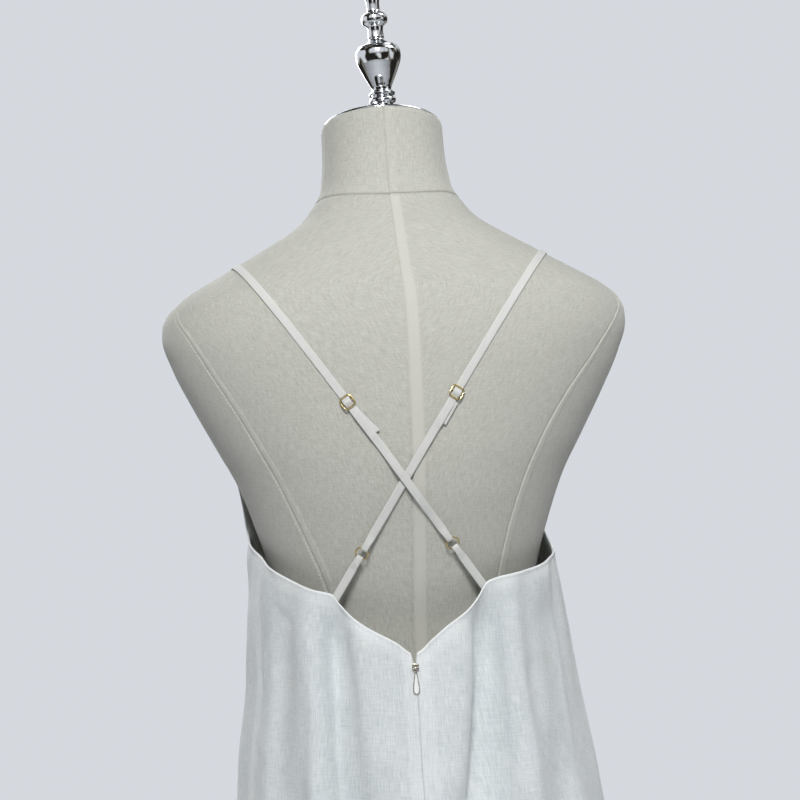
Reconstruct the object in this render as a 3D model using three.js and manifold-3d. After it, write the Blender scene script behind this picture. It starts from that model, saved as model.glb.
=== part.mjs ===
// A white camisole dress with crossed back straps, hanging on a limbless dress form.
// Millimetres, +Z up, the origin on the floor under the stand. The back of the dress faces +Y
// and the wearer's left is +X. An angle round the body is 0 at the centre back, 90 at the
// wearer's left side and 180 at the centre front.
import * as THREE from "three";
import { RoundedBoxGeometry } from "three/addons/geometries/RoundedBoxGeometry.js";
import { mergeVertices } from "three/addons/utils/BufferGeometryUtils.js";
import Module from "manifold-3d";

const wasm = await Module();
wasm.setup();

// Driving sizes
const seamGap = 0.3;
const clothThickness = 1.2;
const strapWidth = 6.4;
const strapThickness = 1.0;
const strapSeat = 0.5;
const hemHeight = 220;
const zipLength = 300;
const poleRadius = 16;
const baseRadius = 175;
const baseThickness = 14;
const seamAngle = 1.6; // the dress hangs turned a little on the form
const leftSideSeam = 71;
const rightSideSeam = -80;

const degrees = (angle) => (angle * Math.PI) / 180;
const mix = (a, b, t) => a + (b - a) * t;
const ease = (t) => {
  const u = Math.min(1, Math.max(0, t));
  return u * u * (3 - 2 * u);
};

// A smooth curve through one column of a table, level wherever the column turns back.
function column(rows, keyName, valueName) {
  const keys = rows.map((row) => row[keyName]);
  const values = rows.map((row) => row[valueName]);
  const slopes = values
    .slice(1)
    .map((value, i) => (value - values[i]) / (keys[i + 1] - keys[i]));
  const tangents = values.map((_, i) => {
    const before = slopes[Math.max(0, i - 1)];
    const after = slopes[Math.min(slopes.length - 1, i)];
    return before * after <= 0 ? 0 : (2 * before * after) / (before + after);
  });
  return (key) => {
    const at = Math.min(keys.at(-1), Math.max(keys[0], key));
    let i = 0;
    while (i < keys.length - 2 && at > keys[i + 1]) i += 1;
    const step = keys[i + 1] - keys[i];
    const t = (at - keys[i]) / step;
    return (
      (1 + 2 * t) * (1 - t) ** 2 * values[i] +
      t * (1 - t) ** 2 * step * tangents[i] +
      t * t * (3 - 2 * t) * values[i + 1] +
      t * t * (t - 1) * step * tangents[i + 1]
    );
  };
}

// A table as columns that can be read at any key, from a heading and its rows.
function table(heading, ...lines) {
  const names = heading.split(" ");
  const rows = lines.map((line) =>
    Object.fromEntries(line.map((value, i) => [names[i], value])),
  );
  const columns = Object.fromEntries(
    names.slice(1).map((name) => [name, column(rows, names[0], name)]),
  );
  return { rows, ...columns };
}

// The torso, by rings. side, back and front are a ring's heights at the sides, the centre
// back and the centre front, width is half its width, and yBack and yFront its depths.
const torso = table(
  "side back front width yBack yFront power bust",
  [720, 720, 720, 134, 80, -90, 2.2, 0],
  [760, 760, 760, 142, 91, -97, 2.2, 0],
  [810, 810, 810, 145, 96, -100, 2.2, 0],
  [870, 870, 870, 136, 85, -100, 2.2, 0],
  [930, 930, 930, 118, 65, -97, 2.2, 0],
  [1000, 1000, 1000, 101, 53, -97, 2.2, 0],
  [1045, 1045, 1045, 102, 58, -104, 2.2, 0],
  [1089, 1089, 1089, 111, 72, -116, 2.2, 0],
  [1126, 1126, 1126, 122, 84, -125, 2.2, 6],
  [1159, 1159, 1159, 133.6, 94, -127, 2.2, 14],
  [1192, 1192, 1192, 150.4, 99, -120, 2.2, 10],
  [1225, 1225, 1225, 167.3, 100, -110, 2.2, 3],
  [1258, 1258, 1258, 182.5, 98.5, -100, 2.2, 0],
  [1282, 1282, 1282, 189.5, 95, -94, 2.2, 0],
  [1291, 1293, 1288, 189.2, 92, -92, 2.2, 0],
  [1299, 1305, 1291, 186, 88, -90, 2.2, 0],
  [1311, 1321, 1296, 173, 80, -88, 2.15, 0],
  [1320, 1331, 1301, 157.5, 74, -87, 2.1, 0],
  [1328, 1340, 1305, 142, 68, -86.5, 2.1, 0],
  [1341, 1355, 1311, 117.7, 57, -86, 2.1, 0],
  [1356, 1370, 1319, 90, 44.5, -85, 2.1, 0],
  [1366, 1378, 1325, 76, 36, -84, 2.1, 0],
  [1383.5, 1391.6, 1336, 62, 24, -82, 2.1, 0],
);
const bustApex = 75;
const bustSpread = 38;

const neck = table(
  "side back front width yBack yFront power bust",
  [1383.5, 1391.6, 1336, 62, 24, -82, 2.1, 0],
  [1393, 1400.5, 1351, 57, 17.5, -82.5, 2.1, 0],
  [1406, 1413, 1371, 53.8, 12, -84, 2.1, 0],
  [1430, 1439, 1410, 51.3, 4.5, -89, 2.1, 0],
  [1454, 1466, 1442, 50.8, -0.5, -95, 2.1, 0],
);

// The dress by level rings: centre is the sideways place of its middle.
const skirt = table(
  "height centre width back front power",
  [220, 0, 268, 190, -232, 2.1],
  [500, -1, 214, 151, -204, 2.15],
  [700, -2.5, 182, 128, -184, 2.2],
  [810, -3.5, 164.5, 115, -173, 2.2],
  [898, -4.3, 150, 102, -166, 2.25],
  [943, -3, 144.5, 95, -162, 2.25],
  [989, -2.7, 137.7, 89, -158, 2.25],
  [1031, -1, 134, 85, -155, 2.25],
  [1058, 0, 131, 84, -152, 2.3],
  [1085, 0, 127, 84, -148, 2.35],
  [1100, 0, 125, 85, -146, 2.4],
  [1112, 0, 123.5, 87, -144, 2.4],
  [1126, 0, 129, 91, -143, 2.45],
  [1159, 0, 140.5, 100, -141, 2.5],
  [1192, 0, 157.5, 105, -133, 2.4],
  [1225, 0, 174, 106, -118, 2.25],
  [1258, 0, 189, 105, -107, 2.2],
);

// The folds of the cloth. Each runs down the dress between an angle at the top, one at hip
// height and one at the hem, and spread is its half width in degrees. A height is how far it
// stands out, and a trough's is negative.
const folds = [
  ["centre back ridge", 2, 1, 3, 9, 0, 4, 13],
  ["back left trough", 27, 19, 14, 4.5, -2.5, -6.5, -20],
  ["back left ridge", 36, 31, 27, 6, 1.5, 5, 16],
  ["outer left trough", 48, 45, 41, 7, 0, -2.5, -17],
  ["left ridge", 60, 59, 56, 7, 1, 2, 13],
  ["left seam trough", 71, 71, 70, 6, -1.5, -3, -15],
  ["left side ridge", 86, 86, 84, 8, 0, 2, 15],
  ["left front trough", 103, 103, 101, 8, 0, -4, -17],
  ["front left ridge", 126, 123, 121, 9, 0, 4, 17],
  ["front left trough", 150, 145, 142, 7, -1, -7, -20],
  ["front ridge", 165, 165, 163, 8, 0, 5, 13],
  ["front middle trough", 183, 184, 186, 9, 0, -5, -16],
  ["front right ridge", 203, 207, 206, 8, 0, 5, 18],
  ["front right trough", 224, 228, 229, 7, -1, -6, -18],
  ["outer front ridge", 243, 246, 248, 8, 0, 4, 14],
  ["right front trough", 263, 264, 266, 8, 0, -3, -16],
  ["right side ridge", 280, 279, 280, 7, 0, 2, 14],
  ["right seam trough", 296, 294, 292, 6, -1, -3.5, -16],
  ["back right outer ridge", 308, 308, 307, 6, 0.5, 2.5, 13],
  ["back right outer trough", 318, 318, 319, 5.5, 0, -3, -15],
  ["back right ridge", 328, 331, 333, 5, 1.5, 5, 14],
  ["back right trough", 336.5, 343, 349, 5, -3, -11, -21],
].map(([name, top, hip, hem, spread, heightTop, heightHip, heightHem]) => {
  const run = table(
    "level angle height",
    [hemHeight, hem, heightHem],
    [898, hip, heightHip],
    [1085, top, heightTop],
  );
  return { name, spread, angle: run.angle, height: run.height };
});
const foldFadeFrom = 1085;
const foldFadeOver = 45;

// The cut edges along the top, by angle and height. The front meets its straps at two points
// with a V between them, and each back piece rises from the zip to its strap point.
const frontEdge = table(
  "angle height",
  [leftSideSeam, 1104],
  [90, 1113],
  [98, 1128],
  [104, 1147],
  [110, 1167],
  [122, 1192],
  [136, 1214],
  [150, 1235],
  [161.5, 1247],
  [167, 1221],
  [174, 1190],
  [182, 1166],
  [190, 1190],
  [197, 1222],
  [202, 1247],
  [214, 1235],
  [228, 1213],
  [241, 1190],
  [252, 1165],
  [259, 1142],
  [267, 1119],
  [360 + rightSideSeam, 1097],
);
const backLeftEdge = table(
  "angle height",
  [seamAngle, 1030],
  [7, 1040],
  [14, 1050],
  [19.5, 1059],
  [25, 1070],
  [27.7, 1077],
  [34, 1080.5],
  [42.5, 1085.5],
  [56, 1094],
  [leftSideSeam, 1104],
);
const backRightEdge = table(
  "angle height",
  [rightSideSeam, 1097],
  [-59, 1090.5],
  [-38.8, 1086],
  [-30, 1084.5],
  [-24, 1081],
  [-19.7, 1070.5],
  [-14.5, 1060],
  [-7.5, 1049],
  [seamAngle, 1030],
);

// Where each strap runs: a point on the shoulder, its slider, its ring and its back end.
const strapRoutes = {
  left: {
    shoulder: [125, -10, 1332],
    slider: [47.8, 98, 1225.3],
    ring: [-30, 84, 1112],
    front: 161.5,
    back: -24,
    lift: 2.7,
  },
  right: {
    shoulder: [-125, -10, 1338],
    slider: [-36, 98, 1229],
    ring: [45.4, 84, 1110],
    front: 202,
    back: 27.7,
    lift: 0,
  },
};

const power = (value, exponent) =>
  Math.sign(value) * Math.abs(value) ** exponent;

// A point of a flattened oval: half width, depths to the back and front, and squareness.
function oval(angle, width, back, front, squareness) {
  const turn = degrees(angle);
  const x = width * power(Math.sin(turn), 2 / squareness);
  const y =
    (back + front) / 2 +
    ((back - front) / 2) * power(Math.cos(turn), 2 / squareness);
  return [x, y];
}

const bustSwell = (x) =>
  Math.exp(-(((Math.abs(x) - bustApex) / bustSpread) ** 2));

// A point of the form's skin at a ring and an angle. The ring dips from its back to its
// front as the cosine of the angle does.
function formPoint(form, ring, angle) {
  const [x, y] = oval(
    angle,
    form.width(ring),
    form.yBack(ring),
    form.yFront(ring),
    form.power(ring),
  );
  const c = Math.cos(degrees(angle));
  const rise =
    ((form.back(ring) - ring) * (c * c + c)) / 2 +
    ((form.front(ring) - ring) * (c * c - c)) / 2;
  const swell = form.bust(ring) * bustSwell(x) * ease(-2 * c);
  return new THREE.Vector3(x, y - swell, ring + rise);
}

// How far out a point lies on the torso: 1 on the skin, less inside, more outside.
function torsoShare(point) {
  const rings = torso.rows;
  let low = rings[0].side;
  let high = rings.at(-1).side;
  let share = 0;
  for (let step = 0; step < 26; step += 1) {
    const ring = (low + high) / 2;
    const middle = (torso.yBack(ring) + torso.yFront(ring)) / 2;
    const depth = (torso.yBack(ring) - torso.yFront(ring)) / 2;
    const p = torso.power(ring);
    const u = Math.abs(point.x / torso.width(ring)) ** p;
    const v = power((point.y - middle) / depth, p);
    share = (u + Math.abs(v)) ** (1 / p);
    const c = power(v, 0.5) / Math.sqrt(u + Math.abs(v) + 1e-9);
    const rise =
      ((torso.back(ring) - ring) * (c * c + c)) / 2 +
      ((torso.front(ring) - ring) * (c * c - c)) / 2;
    const swell = torso.bust(ring) * bustSwell(point.x) * ease(-2 * c);
    share -= swell / depth;
    if (ring + rise < point.z) low = ring;
    else high = ring;
  }
  return share;
}

function foldHeight(angle, height) {
  const fade = 1 - ease((height - foldFadeFrom) / foldFadeOver);
  let out = 0;
  for (const fold of folds) {
    let off = angle - fold.angle(height);
    off -= 360 * Math.round(off / 360);
    out += fold.height(height) * Math.exp(-((off / fold.spread) ** 2));
  }
  return out * fade;
}

// A point of the cloth's outer face.
function clothPoint(angle, height) {
  const [x, y] = oval(
    angle,
    skirt.width(height),
    skirt.back(height),
    skirt.front(height),
    skirt.power(height),
  );
  const out = foldHeight(angle, height);
  const long = Math.hypot(x, y * 1.2);
  return new THREE.Vector3(
    skirt.centre(height) + x + (out * x) / long,
    y + (out * y * 1.2) / long,
    height,
  );
}

function clothNormal(angle, height) {
  const across = clothPoint(angle + 0.5, height).sub(
    clothPoint(angle - 0.5, height),
  );
  const down = clothPoint(angle, height - 2).sub(clothPoint(angle, height + 2));
  return across.cross(down).normalize();
}

// A point at a depth inside the cloth's outer face, or outside it where depth is negative.
const clothLayer = (angle, height, depth) =>
  clothPoint(angle, height).addScaledVector(
    clothNormal(angle, height),
    -depth,
  );

// A closed wall between two faces, each a grid of points given by its row and column.
function wall(rowCount, columnCount, outer, inner) {
  const points = [];
  const faces = [];
  for (const face of [outer, inner])
    for (let row = 0; row < rowCount; row += 1)
      for (let col = 0; col < columnCount; col += 1)
        points.push(...face(row, col).toArray());
  const at = (side, row, col) => (side * rowCount + row) * columnCount + col;
  const quad = (a, b, c, d) => faces.push(a, b, c, a, c, d);
  for (let row = 0; row < rowCount - 1; row += 1)
    for (let col = 0; col < columnCount - 1; col += 1) {
      const square = (side) => [
        at(side, row, col),
        at(side, row + 1, col),
        at(side, row + 1, col + 1),
        at(side, row, col + 1),
      ];
      quad(...square(0));
      quad(...square(1).reverse());
    }
  for (let row = 0; row < rowCount - 1; row += 1)
    for (const [col, turned] of [
      [0, false],
      [columnCount - 1, true],
    ]) {
      const strip = [
        at(0, row, col),
        at(1, row, col),
        at(1, row + 1, col),
        at(0, row + 1, col),
      ];
      quad(...(turned ? strip.reverse() : strip));
    }
  for (let col = 0; col < columnCount - 1; col += 1)
    for (const [row, turned] of [
      [0, true],
      [rowCount - 1, false],
    ]) {
      const strip = [
        at(0, row, col),
        at(1, row, col),
        at(1, row, col + 1),
        at(0, row, col + 1),
      ];
      quad(...(turned ? strip.reverse() : strip));
    }
  return solid(points, faces);
}

function solid(points, faces) {
  const geometry = new THREE.BufferGeometry();
  geometry.setAttribute(
    "position",
    new THREE.Float32BufferAttribute(points, 3),
  );
  geometry.setIndex(faces);
  return geometry;
}

// A closed tube of rings, each a list of points, with a middle point at either end.
function loft(rings, bottom, top) {
  const around = rings[0].length;
  const points = [...rings.flat(), bottom, top].flatMap((point) =>
    point.toArray(),
  );
  const faces = [];
  const last = (rings.length - 1) * around;
  const ends = rings.length * around;
  for (let i = 0; i < around; i += 1) {
    const next = (i + 1) % around;
    for (let ring = 0; ring < rings.length - 1; ring += 1) {
      const low = ring * around;
      const high = low + around;
      faces.push(low + i, low + next, high + next);
      faces.push(low + i, high + next, high + i);
    }
    faces.push(next, i, ends);
    faces.push(last + i, last + next, ends + 1);
  }
  return solid(points, faces);
}

// The rings run round against the clock seen from above, so that the faces point out.
function formBody(form, ringCount, around, raise) {
  const low = form.rows[0].side;
  const high = form.rows.at(-1).side;
  const rings = Array.from({ length: ringCount }, (_, i) => {
    const ring = mix(low, high, i / (ringCount - 1));
    return Array.from({ length: around }, (_, k) => {
      const point = formPoint(form, ring, (-360 * k) / around);
      point.z += raise;
      return point;
    });
  });
  const middle = (ring) =>
    ring
      .reduce((sum, point) => sum.add(point), new THREE.Vector3())
      .divideScalar(around);
  return loft(rings, middle(rings[0]), middle(rings.at(-1)));
}

// The angles of a panel's columns: every row of its edge table, with even steps between.
function panelAngles(edge, from, to, step) {
  const stops = edge.rows
    .map((row) => row.angle)
    .filter((angle) => angle > from + 1 && angle < to - 1);
  const marks = [from, ...stops, to];
  return marks.flatMap((mark, i) => {
    if (i === marks.length - 1) return [mark];
    const parts = Math.max(1, Math.round((marks[i + 1] - mark) / step));
    return Array.from({ length: parts }, (_, k) =>
      mix(mark, marks[i + 1], k / parts),
    );
  });
}

// Half the parting of the two back pieces at a height: open at the zip's slider, then closed.
const partingOpen = 1014;
const partingClosed = 1007;
const partingHalf = 1.1;
const parting = (height) =>
  mix(
    seamGap / 2,
    partingHalf,
    ease((height - partingClosed) / (partingOpen - partingClosed)),
  );
const angleAcross = (distance, height) =>
  (Math.asin((distance / skirt.width(height)) ** (skirt.power(height) / 2)) *
    180) /
  Math.PI;

// The rows of a panel as shares of its drop: close together at the zip's parting, then
// wider apart towards the hem.
const zipTop = 1030;
const topShares = [zipTop, 1022, partingOpen, partingClosed].map(
  (height) => (zipTop - height) / (zipTop - hemHeight),
);
const lowerRows = 15;
const rowShares = [
  ...topShares,
  ...Array.from({ length: lowerRows }, (_, i) =>
    mix(topShares.at(-1), 1, ((i + 1) / lowerRows) ** 1.15),
  ),
];

// One piece of the dress. Its columns run from the wearer's left to right over the back, so
// that its outer face points out, and ends gives its two cut sides by height.
function clothPanel(edge, from, to, ends) {
  const angles = panelAngles(edge, from, to, 5.6).reverse();
  const rowCount = rowShares.length;
  const heightAt = (row, angle) =>
    mix(edge.height(angle), hemHeight, rowShares[row]);
  const angleAt = (col, height) => {
    if (col === 0) return ends(height)[1];
    if (col === angles.length - 1) return ends(height)[0];
    return angles[col];
  };
  const face = (depth) => (row, col) => {
    const height = heightAt(row, angles[col]);
    return clothLayer(angleAt(col, height), height, depth);
  };
  return wall(rowCount, angles.length, face(0), face(clothThickness));
}

const sideGap = 0.065; // degrees, half of a seam's gap
const backLeftPiece = () =>
  clothPanel(backLeftEdge, seamAngle, leftSideSeam, (height) => [
    seamAngle + angleAcross(parting(height), height),
    leftSideSeam - sideGap,
  ]);
const backRightPiece = () =>
  clothPanel(backRightEdge, rightSideSeam, seamAngle, (height) => [
    rightSideSeam + sideGap,
    seamAngle - angleAcross(parting(height), height),
  ]);
const frontPiece = () =>
  clothPanel(frontEdge, leftSideSeam, 360 + rightSideSeam, () => [
    leftSideSeam + sideGap,
    360 + rightSideSeam - sideGap,
  ]);

// Where the torso's skin is met on a line out from a point inside it.
function skinAlong(from, direction) {
  let near = 0;
  let far = 400;
  for (let step = 0; step < 30; step += 1) {
    const middle = (near + far) / 2;
    const point = from.clone().addScaledVector(direction, middle);
    if (torsoShare(point) < 1) near = middle;
    else far = middle;
  }
  return from.clone().addScaledVector(direction, near);
}

function skinNormal(point) {
  const part = (axis) => {
    const ahead = point.clone().addScaledVector(axis, 1.5);
    const behind = point.clone().addScaledVector(axis, -1.5);
    return torsoShare(ahead) - torsoShare(behind);
  };
  return new THREE.Vector3(
    part(new THREE.Vector3(1, 0, 0)),
    part(new THREE.Vector3(0, 1, 0)),
    part(new THREE.Vector3(0, 0, 1)),
  ).normalize();
}

// A taut strap's line: the tightest way over the torso between two points, in one plane.
function tautLine(front, shoulder, back) {
  const normal = shoulder
    .clone()
    .sub(front)
    .cross(back.clone().sub(front))
    .normalize();
  const inside = front
    .clone()
    .add(back)
    .multiplyScalar(0.5)
    .lerp(shoulder, 0.25);
  const along = front.clone().sub(inside).normalize();
  const up = normal.clone().cross(along).normalize();
  if (up.dot(shoulder.clone().sub(inside)) < 0) up.negate();
  const turnOf = (point) => {
    const arm = point.clone().sub(inside);
    return Math.atan2(arm.dot(up), arm.dot(along));
  };
  const last = (turnOf(back) + 2 * Math.PI) % (2 * Math.PI);
  const line = [front];
  const steps = 110;
  for (let i = 1; i <= steps; i += 1) {
    const turn = (last * i) / steps;
    const direction = along
      .clone()
      .multiplyScalar(Math.cos(turn))
      .addScaledVector(up, Math.sin(turn));
    const point = i === steps ? back : skinAlong(inside, direction);
    const turnsIn = () => {
      const [a, b] = line.slice(-2);
      const cross = b.clone().sub(a).cross(point.clone().sub(b));
      return cross.dot(along.clone().cross(up)) <= 0;
    };
    while (line.length > 1 && turnsIn()) line.pop();
    line.push(point);
  }
  return line;
}

// A line with distances, which gives a place beside it: along, out from the skin, and across.
function routeFrame(line) {
  const lengths = [0];
  line
    .slice(1)
    .forEach((point, i) => lengths.push(lengths[i] + point.distanceTo(line[i])));
  const pointAt = (along) => {
    let i = 0;
    while (i < line.length - 2 && along > lengths[i + 1]) i += 1;
    const share = (along - lengths[i]) / (lengths[i + 1] - lengths[i]);
    return line[i].clone().lerp(line[i + 1], share);
  };
  const nearest = (target) => {
    let best = 0;
    let least = Infinity;
    for (let along = 0; along < lengths.at(-1); along += 1) {
      const far = pointAt(along).distanceTo(target);
      if (far < least) {
        least = far;
        best = along;
      }
    }
    return best;
  };
  const frameAt = (along) => {
    const reach = 6;
    const ahead = pointAt(along + reach);
    const point = pointAt(along);
    const behind = pointAt(along - reach);
    const tangent = ahead.clone().sub(behind).normalize();
    const out = skinNormal(point);
    out.addScaledVector(tangent, -out.dot(tangent)).normalize();
    const across = out.clone().cross(tangent);
    return { point, tangent, out, across };
  };
  const place = (along, height, side) => {
    const { point, out, across } = frameAt(along);
    return point.addScaledVector(out, height).addScaledVector(across, side);
  };
  return { length: lengths.at(-1), nearest, frameAt, place };
}

// A ribbon that follows a list of [along, height, width] points, with the strap's thickness.
function ribbon(route, path) {
  const sideOf = (i) => {
    const [a0, h0] = path[Math.max(0, i - 1)];
    const [a1, h1] = path[Math.min(path.length - 1, i + 1)];
    const long = Math.hypot(a1 - a0, h1 - h0);
    return [(h0 - h1) / long, (a1 - a0) / long];
  };
  const face = (sign) => (row, col) => {
    const [along, height, width] = path[row];
    const [da, dh] = sideOf(row);
    const half = (sign * strapThickness) / 2;
    return route.place(
      along + da * half,
      height + dh * half,
      (col - 0.5) * width,
    );
  };
  return wall(path.length, 2, face(1), face(-1));
}

// Evenly spaced points along a stretch at one height.
function stretch(from, to, heightAt, width, step = 7) {
  const parts = Math.max(1, Math.round(Math.abs(to - from) / step));
  return Array.from({ length: parts + 1 }, (_, i) => {
    const along = mix(from, to, i / parts);
    return [along, heightAt(along), width];
  });
}

// The turn of a strap round a wire at [along, height], from over it to under it.
function turnRound(along, height, radius, direction, width) {
  const parts = 6;
  return Array.from({ length: parts + 1 }, (_, i) => {
    const turn = (Math.PI * i) / parts;
    return [
      along + direction * radius * Math.sin(turn),
      height + radius * Math.cos(turn),
      width,
    ];
  });
}

const ringRadius = 4.85;
const wireRadius = 0.62;
const wireClear = 0.3;
const ringStrapWidth = 5.2;
const strapUnder = strapSeat + strapThickness / 2;
const layerStep = strapThickness + seamGap;
const turnRadius = wireRadius + wireClear + strapThickness / 2;
const ringHeight = strapUnder + turnRadius;
const turnOffset = Math.sqrt(ringRadius ** 2 - (ringStrapWidth / 2) ** 2);

const sliderLength = 10.6;
const sliderWidth = 11;
const barWidth = 1.3;
const barPitch = (sliderLength - barWidth) / 2;
const sliderHeight =
  strapUnder + strapThickness / 2 + wireClear + barWidth / 2 + layerStep / 2;
const sliderTilt = Math.atan2(layerStep / 2, barPitch);

// The fixed points of one side's straps: its line, where its fittings sit, and its lift
// where it crosses over the other strap.
function strapFrame({ shoulder, slider, ring, front, back, lift }) {
  const tuck = clothThickness + seamGap + strapSeat + strapThickness + 0.6;
  const frontEnd = clothLayer(front, frontEdge.height(front) - 8, tuck);
  const backHeight = (back > 0 ? backLeftEdge : backRightEdge).height(back);
  const backEnd = clothLayer(back, backHeight - 8, tuck + layerStep + 0.8);
  const point = new THREE.Vector3(...shoulder);
  const line = tautLine(frontEnd, point, backEnd);
  const route = routeFrame(line);
  const crossing = route.nearest(new THREE.Vector3(1, 95, 1162));
  return {
    route,
    slider: route.nearest(new THREE.Vector3(...slider)),
    ring: route.nearest(new THREE.Vector3(...ring)),
    rise: (along) => lift * ease((34 - Math.abs(along - crossing)) / 22),
  };
}

// The long strap: from the front point over the shoulder, under, over and under the slider's
// bars, down to the ring, round its wire and back up inside itself to the slider.
function longStrap(frame) {
  const { route, slider, ring, rise } = frame;
  const low = () => strapUnder;
  const outer = (along) => strapUnder + layerStep + rise(along);
  const inner = (along) => strapUnder + rise(along);
  const top = sliderHeight + barWidth / 2 + wireClear + strapThickness / 2;
  const fold = ring - turnOffset;
  const path = [
    ...stretch(0, slider - barPitch + 0.8, low, strapWidth),
    [slider - 1.1, top - 0.3, strapWidth],
    [slider - 0.4, top, strapWidth],
    [slider + 0.4, top, strapWidth],
    [slider + 1.1, top - 0.3, strapWidth],
    ...stretch(slider + barPitch - 0.8, ring - 15, outer, strapWidth),
    [ring - 9.5, strapUnder + 2 * turnRadius - 0.2, ringStrapWidth],
    ...turnRound(fold, ringHeight, turnRadius, 1, ringStrapWidth),
    [ring - 9.5, strapUnder + 0.1, ringStrapWidth],
    ...stretch(ring - 15, slider + 1.2, inner, strapWidth - 0.2),
  ];
  return ribbon(route, path);
}

// The short strap below the ring: two layers sewn in behind the edge of the back piece.
function shortStrap(frame) {
  const { route, ring } = frame;
  const fold = ring + turnOffset;
  const end = route.length;
  const path = [
    ...stretch(end, ring + 15, () => strapUnder + layerStep, strapWidth),
    [ring + 9.5, strapUnder + 2 * turnRadius - 0.2, ringStrapWidth],
    ...turnRound(fold, ringHeight, turnRadius, -1, ringStrapWidth),
    [ring + 9.5, strapUnder + 0.1, ringStrapWidth],
    ...stretch(ring + 15, end, () => strapUnder, strapWidth),
  ];
  return ribbon(route, path);
}

// Sets a piece made flat about the origin, Y along the strap and Z out, on a strap's line.
function seatOn(frame, along, height, tilt, geometry) {
  const { point, tangent, out } = frame.route.frameAt(along);
  const across = tangent.clone().cross(out);
  const basis = new THREE.Matrix4().makeBasis(across, tangent, out);
  geometry.rotateX(tilt);
  geometry.applyMatrix4(basis);
  const seat = point.addScaledVector(out, height);
  return geometry.translate(seat.x, seat.y, seat.z);
}

const strapRing = (frame) =>
  seatOn(
    frame,
    frame.ring,
    ringHeight,
    0,
    new THREE.TorusGeometry(ringRadius, wireRadius, 8, 24),
  );

function roundedRectangle(width, height, radius, Kind = THREE.Shape) {
  const x = width / 2;
  const y = height / 2;
  return new Kind()
    .moveTo(x - radius, -y)
    .absarc(x - radius, radius - y, radius, -Math.PI / 2, 0, false)
    .absarc(x - radius, y - radius, radius, 0, Math.PI / 2, false)
    .absarc(radius - x, y - radius, radius, Math.PI / 2, Math.PI, false)
    .absarc(radius - x, radius - y, radius, Math.PI, 1.5 * Math.PI, false);
}

// The strap slider: a frame of wire with a middle bar.
function strapSlider(frame) {
  const outline = roundedRectangle(sliderWidth, sliderLength, 2.4);
  const eyeLength = barPitch - barWidth;
  for (const sign of [-1, 1]) {
    const eye = roundedRectangle(sliderWidth - 2.6, eyeLength, 1, THREE.Path);
    const points = eye.getPoints(4).map(
      (point) => new THREE.Vector2(point.x, point.y + (sign * barPitch) / 2),
    );
    outline.holes.push(new THREE.Path(points.reverse()));
  }
  const geometry = new THREE.ExtrudeGeometry(outline, {
    depth: barWidth,
    bevelEnabled: false,
    curveSegments: 4,
  });
  geometry.translate(0, 0, -barWidth / 2);
  return seatOn(frame, frame.slider, sliderHeight, sliderTilt, geometry);
}

// Joins and cuts of closed meshes.
function toManifold(geometry) {
  const bare = geometry.clone();
  bare.deleteAttribute("normal");
  bare.deleteAttribute("uv");
  const merged = mergeVertices(bare, 1e-4);
  return new wasm.Manifold(
    new wasm.Mesh({
      numProp: 3,
      vertProperties: merged.attributes.position.array,
      triVerts: new Uint32Array(merged.index.array),
    }),
  );
}
function fromManifold(manifold) {
  const mesh = manifold.getMesh();
  const geometry = new THREE.BufferGeometry();
  geometry.setAttribute(
    "position",
    new THREE.BufferAttribute(mesh.vertProperties, 3),
  );
  geometry.setIndex(new THREE.BufferAttribute(mesh.triVerts, 1));
  return geometry;
}
const joined = (...parts) =>
  fromManifold(parts.map(toManifold).reduce((sum, part) => sum.add(part)));

// The zip's own frame: X across, Y out of the cloth, Z up along it, about the pull's hinge.
const hingeHeight = 1018.5;
const hingeOut = 2.3;
const hingePoint = clothPoint(seamAngle, hingeHeight);
const clothLean = Math.atan2(
  clothPoint(seamAngle, hingeHeight - 20).y - hingePoint.y,
  20,
);

const block = (x, y, z, sizeX, sizeY, sizeZ, radius = 0.25) =>
  new RoundedBoxGeometry(sizeX, sizeY, sizeZ, 1, radius).translate(x, y, z);
const crossPin = (radius, length, segments) =>
  new THREE.CylinderGeometry(radius, radius, length, segments).rotateZ(
    Math.PI / 2,
  );

// The slider: its body behind the cloth, a neck through the parting, and two lugs with a pin.
function zipSliderGeometry() {
  const inside = -clothThickness - seamGap;
  const lugs = [-1, 1].map((side) =>
    block(side * 2.1, 1.75, 0.75, 0.8, 2.7, 4.5),
  );
  return joined(
    block(0, inside - 1.3, -0.6, 4.8, 2.6, 8.6, 0.6),
    block(0, -0.6, 2.4, 1.0, 4.6, 1.2),
    block(0, 0.95, 2.4, 5.0, 1.1, 1.2),
    ...lugs,
    crossPin(0.5, 4.6, 12).translate(0, hingeOut, 0),
  );
}

// The pull: an eye on the pin, and a drop-shaped tab below it.
const pullLength = 20;
const pullWidth = 5.4;
const pullThickness = 1.2;
const pullRest = -degrees(3.4);
function zipPullGeometry() {
  const round = pullWidth / 2;
  const neckHalf = 0.95;
  const outline = new THREE.Shape()
    .moveTo(-neckHalf, -1)
    .lineTo(-neckHalf, -3.4)
    .quadraticCurveTo(-round, -9, -round, round - pullLength)
    .absarc(0, round - pullLength, round, Math.PI, 2 * Math.PI, false)
    .quadraticCurveTo(round, -9, neckHalf, -3.4)
    .lineTo(neckHalf, -1);
  const tab = new THREE.ExtrudeGeometry(outline, {
    depth: pullThickness,
    bevelEnabled: false,
    curveSegments: 7,
  });
  tab.translate(0, 0, -pullThickness / 2).rotateX(Math.PI / 2);
  const eye = toManifold(crossPin(1.5, 2.8, 16));
  const bore = toManifold(crossPin(0.8, 4, 12));
  return fromManifold(toManifold(tab).add(eye).subtract(bore));
}

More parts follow.
